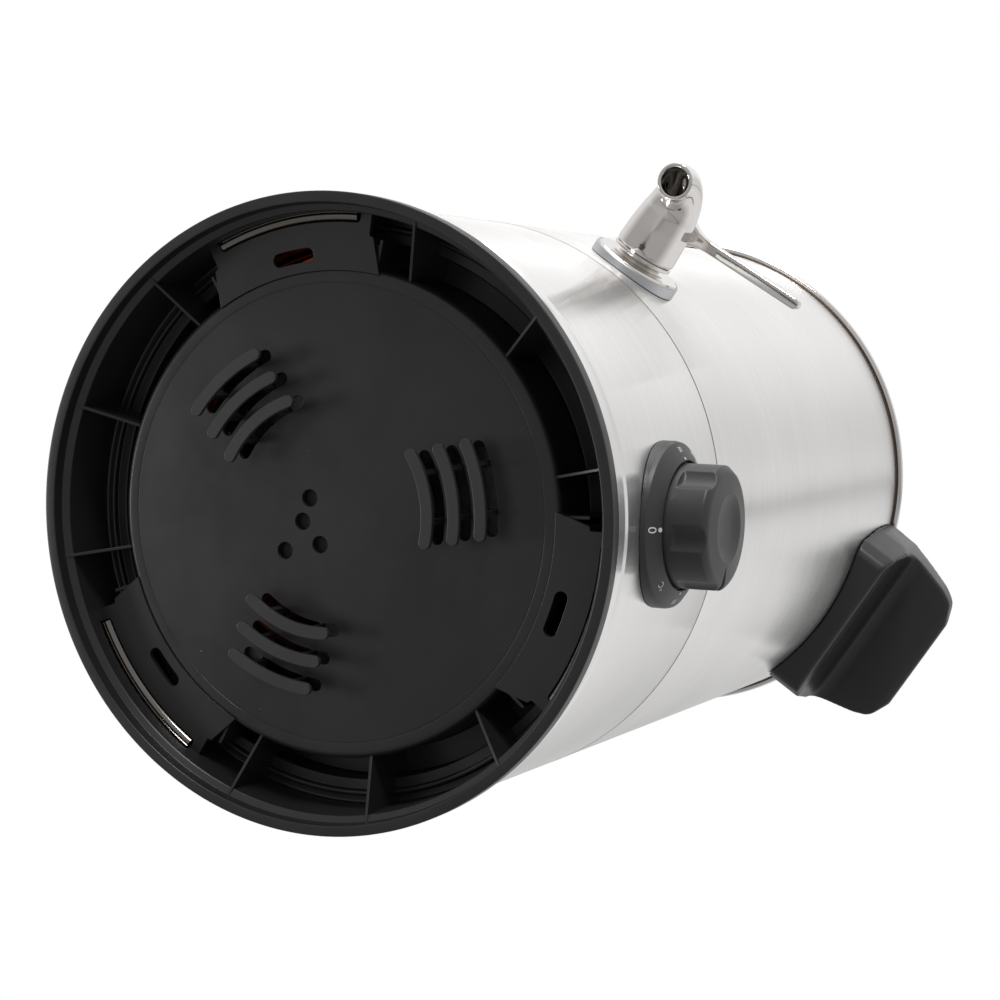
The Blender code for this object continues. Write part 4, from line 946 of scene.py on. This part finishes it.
def makeHandle(name, side, s):
    # a side section run along Y, trimmed by its outlines seen from above and from the front, then softened
    place = uprightFrame() @ Matrix.Rotation(math.radians(side), 4, "Z")
    low, shelf, top = s["low"], s["shelf"], s["top"]
    section = rounded([(0.1000, low, 0), (0.1322, low, 0.0022), (0.1334, low + 0.0090, 0.003),
                       (0.1328, low + 0.0104, 0.0006), (0.1335, low + 0.0240, 0.004),
                       (0.1345, shelf + 0.0004, 0.0125), (0.1650, shelf, 0.004),
                       (0.1686, shelf + 0.0024, 0.0025),
                       (0.1676, shelf + 0.0070, 0.0020), (0.1560, 0.4000, 0.02), (0.1420, 0.4034, 0.02),
                       (0.1300, top, 0.02), (0.1000, top, 0)], True, 8)
    body = prism(name, section, -0.0550, 0.0550, place @ Matrix.Rotation(math.radians(90), 4, "X"))
    # one half of each outline; the other half is its mirror image
    plan = [(0.1000, -0.0492, 0), (0.1290, -0.0478, 0.01), (0.1450, -0.0436, 0.02), (0.1560, -0.0406, 0.02),
            (0.1636, -0.0370, 0.008), (0.1690, -0.0240, 0.012)]
    plan += [(x, -y, rounding) for x, y, rounding in reversed(plan)]
    front = [(-0.0345, low - 0.001, 0.004), (-0.0402, low + 0.0016, 0.004), (-0.0436, low + 0.0070, 0.006),
             (-0.0477, 0.3800, 0.02), (-0.0502, 0.4200, 0)]
    front += [(-x, z, rounding) for x, z, rounding in reversed(front)]
    stand = Matrix(((0, 0, 1, 0), (1, 0, 0, 0), (0, 1, 0, 0), (0, 0, 0, 1)))
    boolean(body, [prism("tool", rounded(plan, True, 8), 0.34, 0.42, place)], "INTERSECT")
    boolean(body, [prism("tool", rounded(front, True, 8), 0.09, 0.18, place @ stand)], "INTERSECT")
    boolean(body, [prism("tool", circle(s["wallR"], count=360), 0.33, 0.43)])
    cells = body.modifiers.new("cells", "REMESH")
    cells.mode = "VOXEL"
    cells.voxel_size = s["cell"]
    cells.use_smooth_shade = True
    soften = body.modifiers.new("soften", "SMOOTH")
    soften.factor = 0.5
    soften.iterations = s["smooth"]
    return bake(body, 60)


keep(makeHandle("gripRight", 0.0, grip), "body", handleBlack, ["handle_right"])
keep(makeHandle("gripLeft", 180.0, grip), "body", handleBlack, ["handle_left"])
print("handles made")

# the lid, its knob and the inlet bush

seat = shell["beadZ"] + shell["beadR"] + 0.0003
lidSet = dict(edge=0.1228, sheet=0.0009, top=0.4280, skirt=0.0070, knobLow=0.4283)


def makeLid(s):
    dome = [(0.0, s["top"], 0), (0.035, s["top"] - 0.0004, 0.2), (0.070, s["top"] - 0.0028, 0.2),
            (0.098, s["top"] - 0.0082, 0.1), (0.1175, 0.4112, 0.02)]
    corners = dome + [(0.1222, seat + 0.0010, 0.002), (s["edge"], seat + 0.0009, 0.0003), (s["edge"], seat,
                                                                                           0.0003),
                      (0.1197, seat, 0.0004), (0.1194, seat - s["skirt"], 0.0003),
                      (0.1186, seat - s["skirt"], 0.0003),
                      (0.1184, seat + 0.0004, 0.002)]
    corners += [(0.1115, 0.4134, 0.01)] + [(r, z - s["sheet"], c) for r, z, c in reversed(dome[:-1])]
    return lathe("lidDome", corners, 256, sharp=40, arc=10)


def makeLidKnob(low):
    corners = [(0, low + 0.0240, 0), (0.0100, low + 0.0240, 0.02), (0.0190, low + 0.0205, 0.0040),
               (0.0186, low + 0.0160, 0.0030), (0.0095, low + 0.0095, 0.006), (0.0095, low + 0.0040, 0.006),
               (0.0138, low, 0.0008), (0, low, 0)]
    return lathe("lidGrip", corners, 128, sharp=40, arc=10)


keep(makeLid(lidSet), "lid_set", bodySteel, ["lid"])
keep(makeLidKnob(lidSet["knobLow"]), "lid_set", handleBlack, ["lid_knob"])
print("lid made")


def makeGland():
    corners = [(0.0042, 0.1120, 0.0003), (0.0042, 0.1243, 0.0012), (0.0082, 0.1243, 0.0008),
               (0.0095, 0.1228, 0.0006),
               (0.0095, 0.1219, 0), (0.0060, 0.1219, 0), (0.0060, 0.1120, 0.0004)]
    return lathe("inletBush", corners, 96, radialFrame(90.0, 0.060), True)


keep(makeGland(), "body", baseBlack, ["cord_gland"])

innerFinish = dict(
    base_screw_1=screwBlack, base_screw_2=screwBlack, base_screw_3=screwBlack, base_screw_4=screwBlack,
    heater_plate=aluminium, heating_element=sheathMetal, thermal_cutout=switchCream, heat_shield=aluminium,
    shield_post_1=plainSteel, shield_post_2=plainSteel, shield_post_3=plainSteel, thermostat_body=switchCream,
    thermostat_nut=plainSteel, thermostat_shaft=plainSteel, capillary_bulb=copperRed,
    terminal_block=handleBlack,
    live_wire=liveRedGlowing, neutral_wire=neutralBlue, earth_wire=earthGreen, tap_inner_gasket=gasketGrey,
    tap_lock_nut=tapSteel, tap_ball=tapSteel, tap_seat_inner=sealWhite, tap_seat_outer=sealWhite,
    tap_stem=tapSteel,
    tap_packing=sealWhite, lever_grub_screw=plainSteel, handle_screw_1=tapSteel, handle_screw_2=tapSteel,
    handle_screw_3=tapSteel, handle_screw_4=tapSteel, lid_screw=plainSteel)
for node, finish in innerFinish.items():
    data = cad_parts[node].data
    data.materials.clear()
    data.materials.append(finish)
print("inner pieces finished")

# floor, studio, lights and camera

cameraSet = dict(place=(0.32574, -0.27408, -0.77996), right=(0.7444, -0.5212, 0.4174),
                 up=(-0.5922, -0.8041, 0.0523), back=(0.3084, -0.2861, -0.9072), lens=83.24)
floorSet = dict(half=4, z=-0.0002, shade=0.86, roughness=0.7)


def makeFloor(s):
    # one-sided: seen from below it lets everything through, so the underside of the object stays in view
    mesh = bpy.data.meshes.new("floor")
    corners = [(x * s["half"], y * s["half"], s["z"]) for x, y in ((-1, -1), (1, -1), (1, 1), (-1, 1))]
    mesh.from_pydata(corners, [], [(0, 1, 2, 3)])
    floor = bpy.data.objects.new("floor", mesh)
    scene.collection.objects.link(floor)
    made = bpy.data.materials.new("paleFloor")
    made.use_nodes = True
    tree = made.node_tree
    shader = tree.nodes["Principled BSDF"]
    shader.inputs["Base Color"].default_value = (s["shade"], s["shade"], s["shade"], 1)
    shader.inputs["Roughness"].default_value = s["roughness"]
    clear = tree.nodes.new("ShaderNodeBsdfTransparent")
    sideOf = tree.nodes.new("ShaderNodeNewGeometry")
    either = tree.nodes.new("ShaderNodeMixShader")
    tree.links.new(sideOf.outputs["Backfacing"], either.inputs["Fac"])
    tree.links.new(shader.outputs["BSDF"], either.inputs[1])
    tree.links.new(clear.outputs["BSDF"], either.inputs[2])
    tree.links.new(either.outputs["Shader"], tree.nodes["Material Output"].inputs["Surface"])
    mesh.materials.append(made)
    for ray in ("visible_shadow", "visible_diffuse", "visible_glossy", "visible_transmission"):
        setattr(floor, ray, False)


# brightness of the studio by compass direction: (degrees, level)
studioBands = [(-180, 0.84), (-162, 0.93), (-140, 0.96), (-128, 0.98), (-100, 0.98), (-90, 0.94), (-83, 0.88),
               (-72, 0.81), (-60, 0.725), (-48, 0.705), (-36, 0.745), (-28, 0.70), (-26.5, 0.46), (-22, 0.50),
               (-20.5, 0.72), (-12, 0.74), (-1, 0.82), (21, 0.80), (33, 0.765), (44, 0.725), (70, 0.62),
               (100, 0.55), (130, 0.62), (165, 0.80), (180, 0.84)]


def makeWorld(bands):
    # white to the camera; in reflections its brightness follows the compass angle and falls off below
    world = bpy.data.worlds.new("studio")
    scene.world = world
    world.use_nodes = True
    tree = world.node_tree
    tree.nodes.clear()
    where = tree.nodes.new("ShaderNodeTexCoord").outputs["Generated"]
    split = tree.nodes.new("ShaderNodeSeparateXYZ")
    tree.links.new(where, split.inputs[0])
    angle = mathNode(tree, "ARCTAN2", split.outputs["Y"], split.outputs["X"])
    turn = mathNode(tree, "MULTIPLY_ADD", angle, 1 / (2 * math.pi), 0.5)
    ramp = tree.nodes.new("ShaderNodeValToRGB")
    tree.links.new(turn, ramp.inputs["Fac"])
    stops = ramp.color_ramp.elements
    stops[0].position, stops[1].position = 0.0, 1.0
    for stop, level in ((stops[0], bands[0][1]), (stops[1], bands[-1][1])):
        stop.color = (level, level, level, 1)
    for degrees, level in bands[1:-1]:
        made = stops.new(degrees / 360 + 0.5)
        made.color = (level, level, level, 1)
    fall = ranged(tree, split.outputs["Z"], -0.35, 0.25, 0.50, 1.0)
    glow = tree.nodes.new("ShaderNodeBackground")
    tree.links.new(mathNode(tree, "MULTIPLY", ramp.outputs["Color"], fall), glow.inputs["Color"])
    glow.inputs["Strength"].default_value = 1.0
    white = tree.nodes.new("ShaderNodeBackground")
    white.inputs["Color"].default_value = (1, 1, 1, 1)
    path = tree.nodes.new("ShaderNodeLightPath")
    either = tree.nodes.new("ShaderNodeMixShader")
    out = tree.nodes.new("ShaderNodeOutputWorld")
    tree.links.new(path.outputs["Is Camera Ray"], either.inputs["Fac"])
    tree.links.new(glow.outputs[0], either.inputs[1])
    tree.links.new(white.outputs[0], either.inputs[2])
    tree.links.new(either.outputs[0], out.inputs["Surface"])


def makeCamera(s):
    data = bpy.data.cameras.new("camera")
    data.lens = s["lens"]
    data.sensor_width = 36
    made = bpy.data.objects.new("camera", data)
    scene.collection.objects.link(made)
    axes = Matrix((s["right"], s["up"], s["back"])).transposed()
    made.matrix_world = Matrix.Translation(s["place"]) @ axes.to_4x4()
    data.clip_start = 0.01
    scene.camera = made


def softLight(name, place, aim, size, power):
    data = bpy.data.lights.new(name, "AREA")
    data.energy = power
    data.shape = "RECTANGLE"
    data.size, data.size_y = size
    made = bpy.data.objects.new(name, data)
    scene.collection.objects.link(made)
    made.location = place
    made.rotation_euler = (Vector(aim) - Vector(place)).to_track_quat("-Z", "Y").to_euler()


makeFloor(floorSet)
makeWorld(studioBands)
makeCamera(cameraSet)
softLight("keyPanel", (-0.9, -1.3, 0.5), (0, 0, 0.2), (0.9, 0.9), 6.0)
softLight("baseSide", (-1.1, 0.85, -0.75), (0, 0, 0.01), (0.35, 0.35), 6.0)
softLight("baseFront", (-0.80, -1.95, -0.60), (0, 0, 0.01), (0.5, 0.5), 24.0)
scene.view_settings.view_transform = "Standard"
print("stage made")
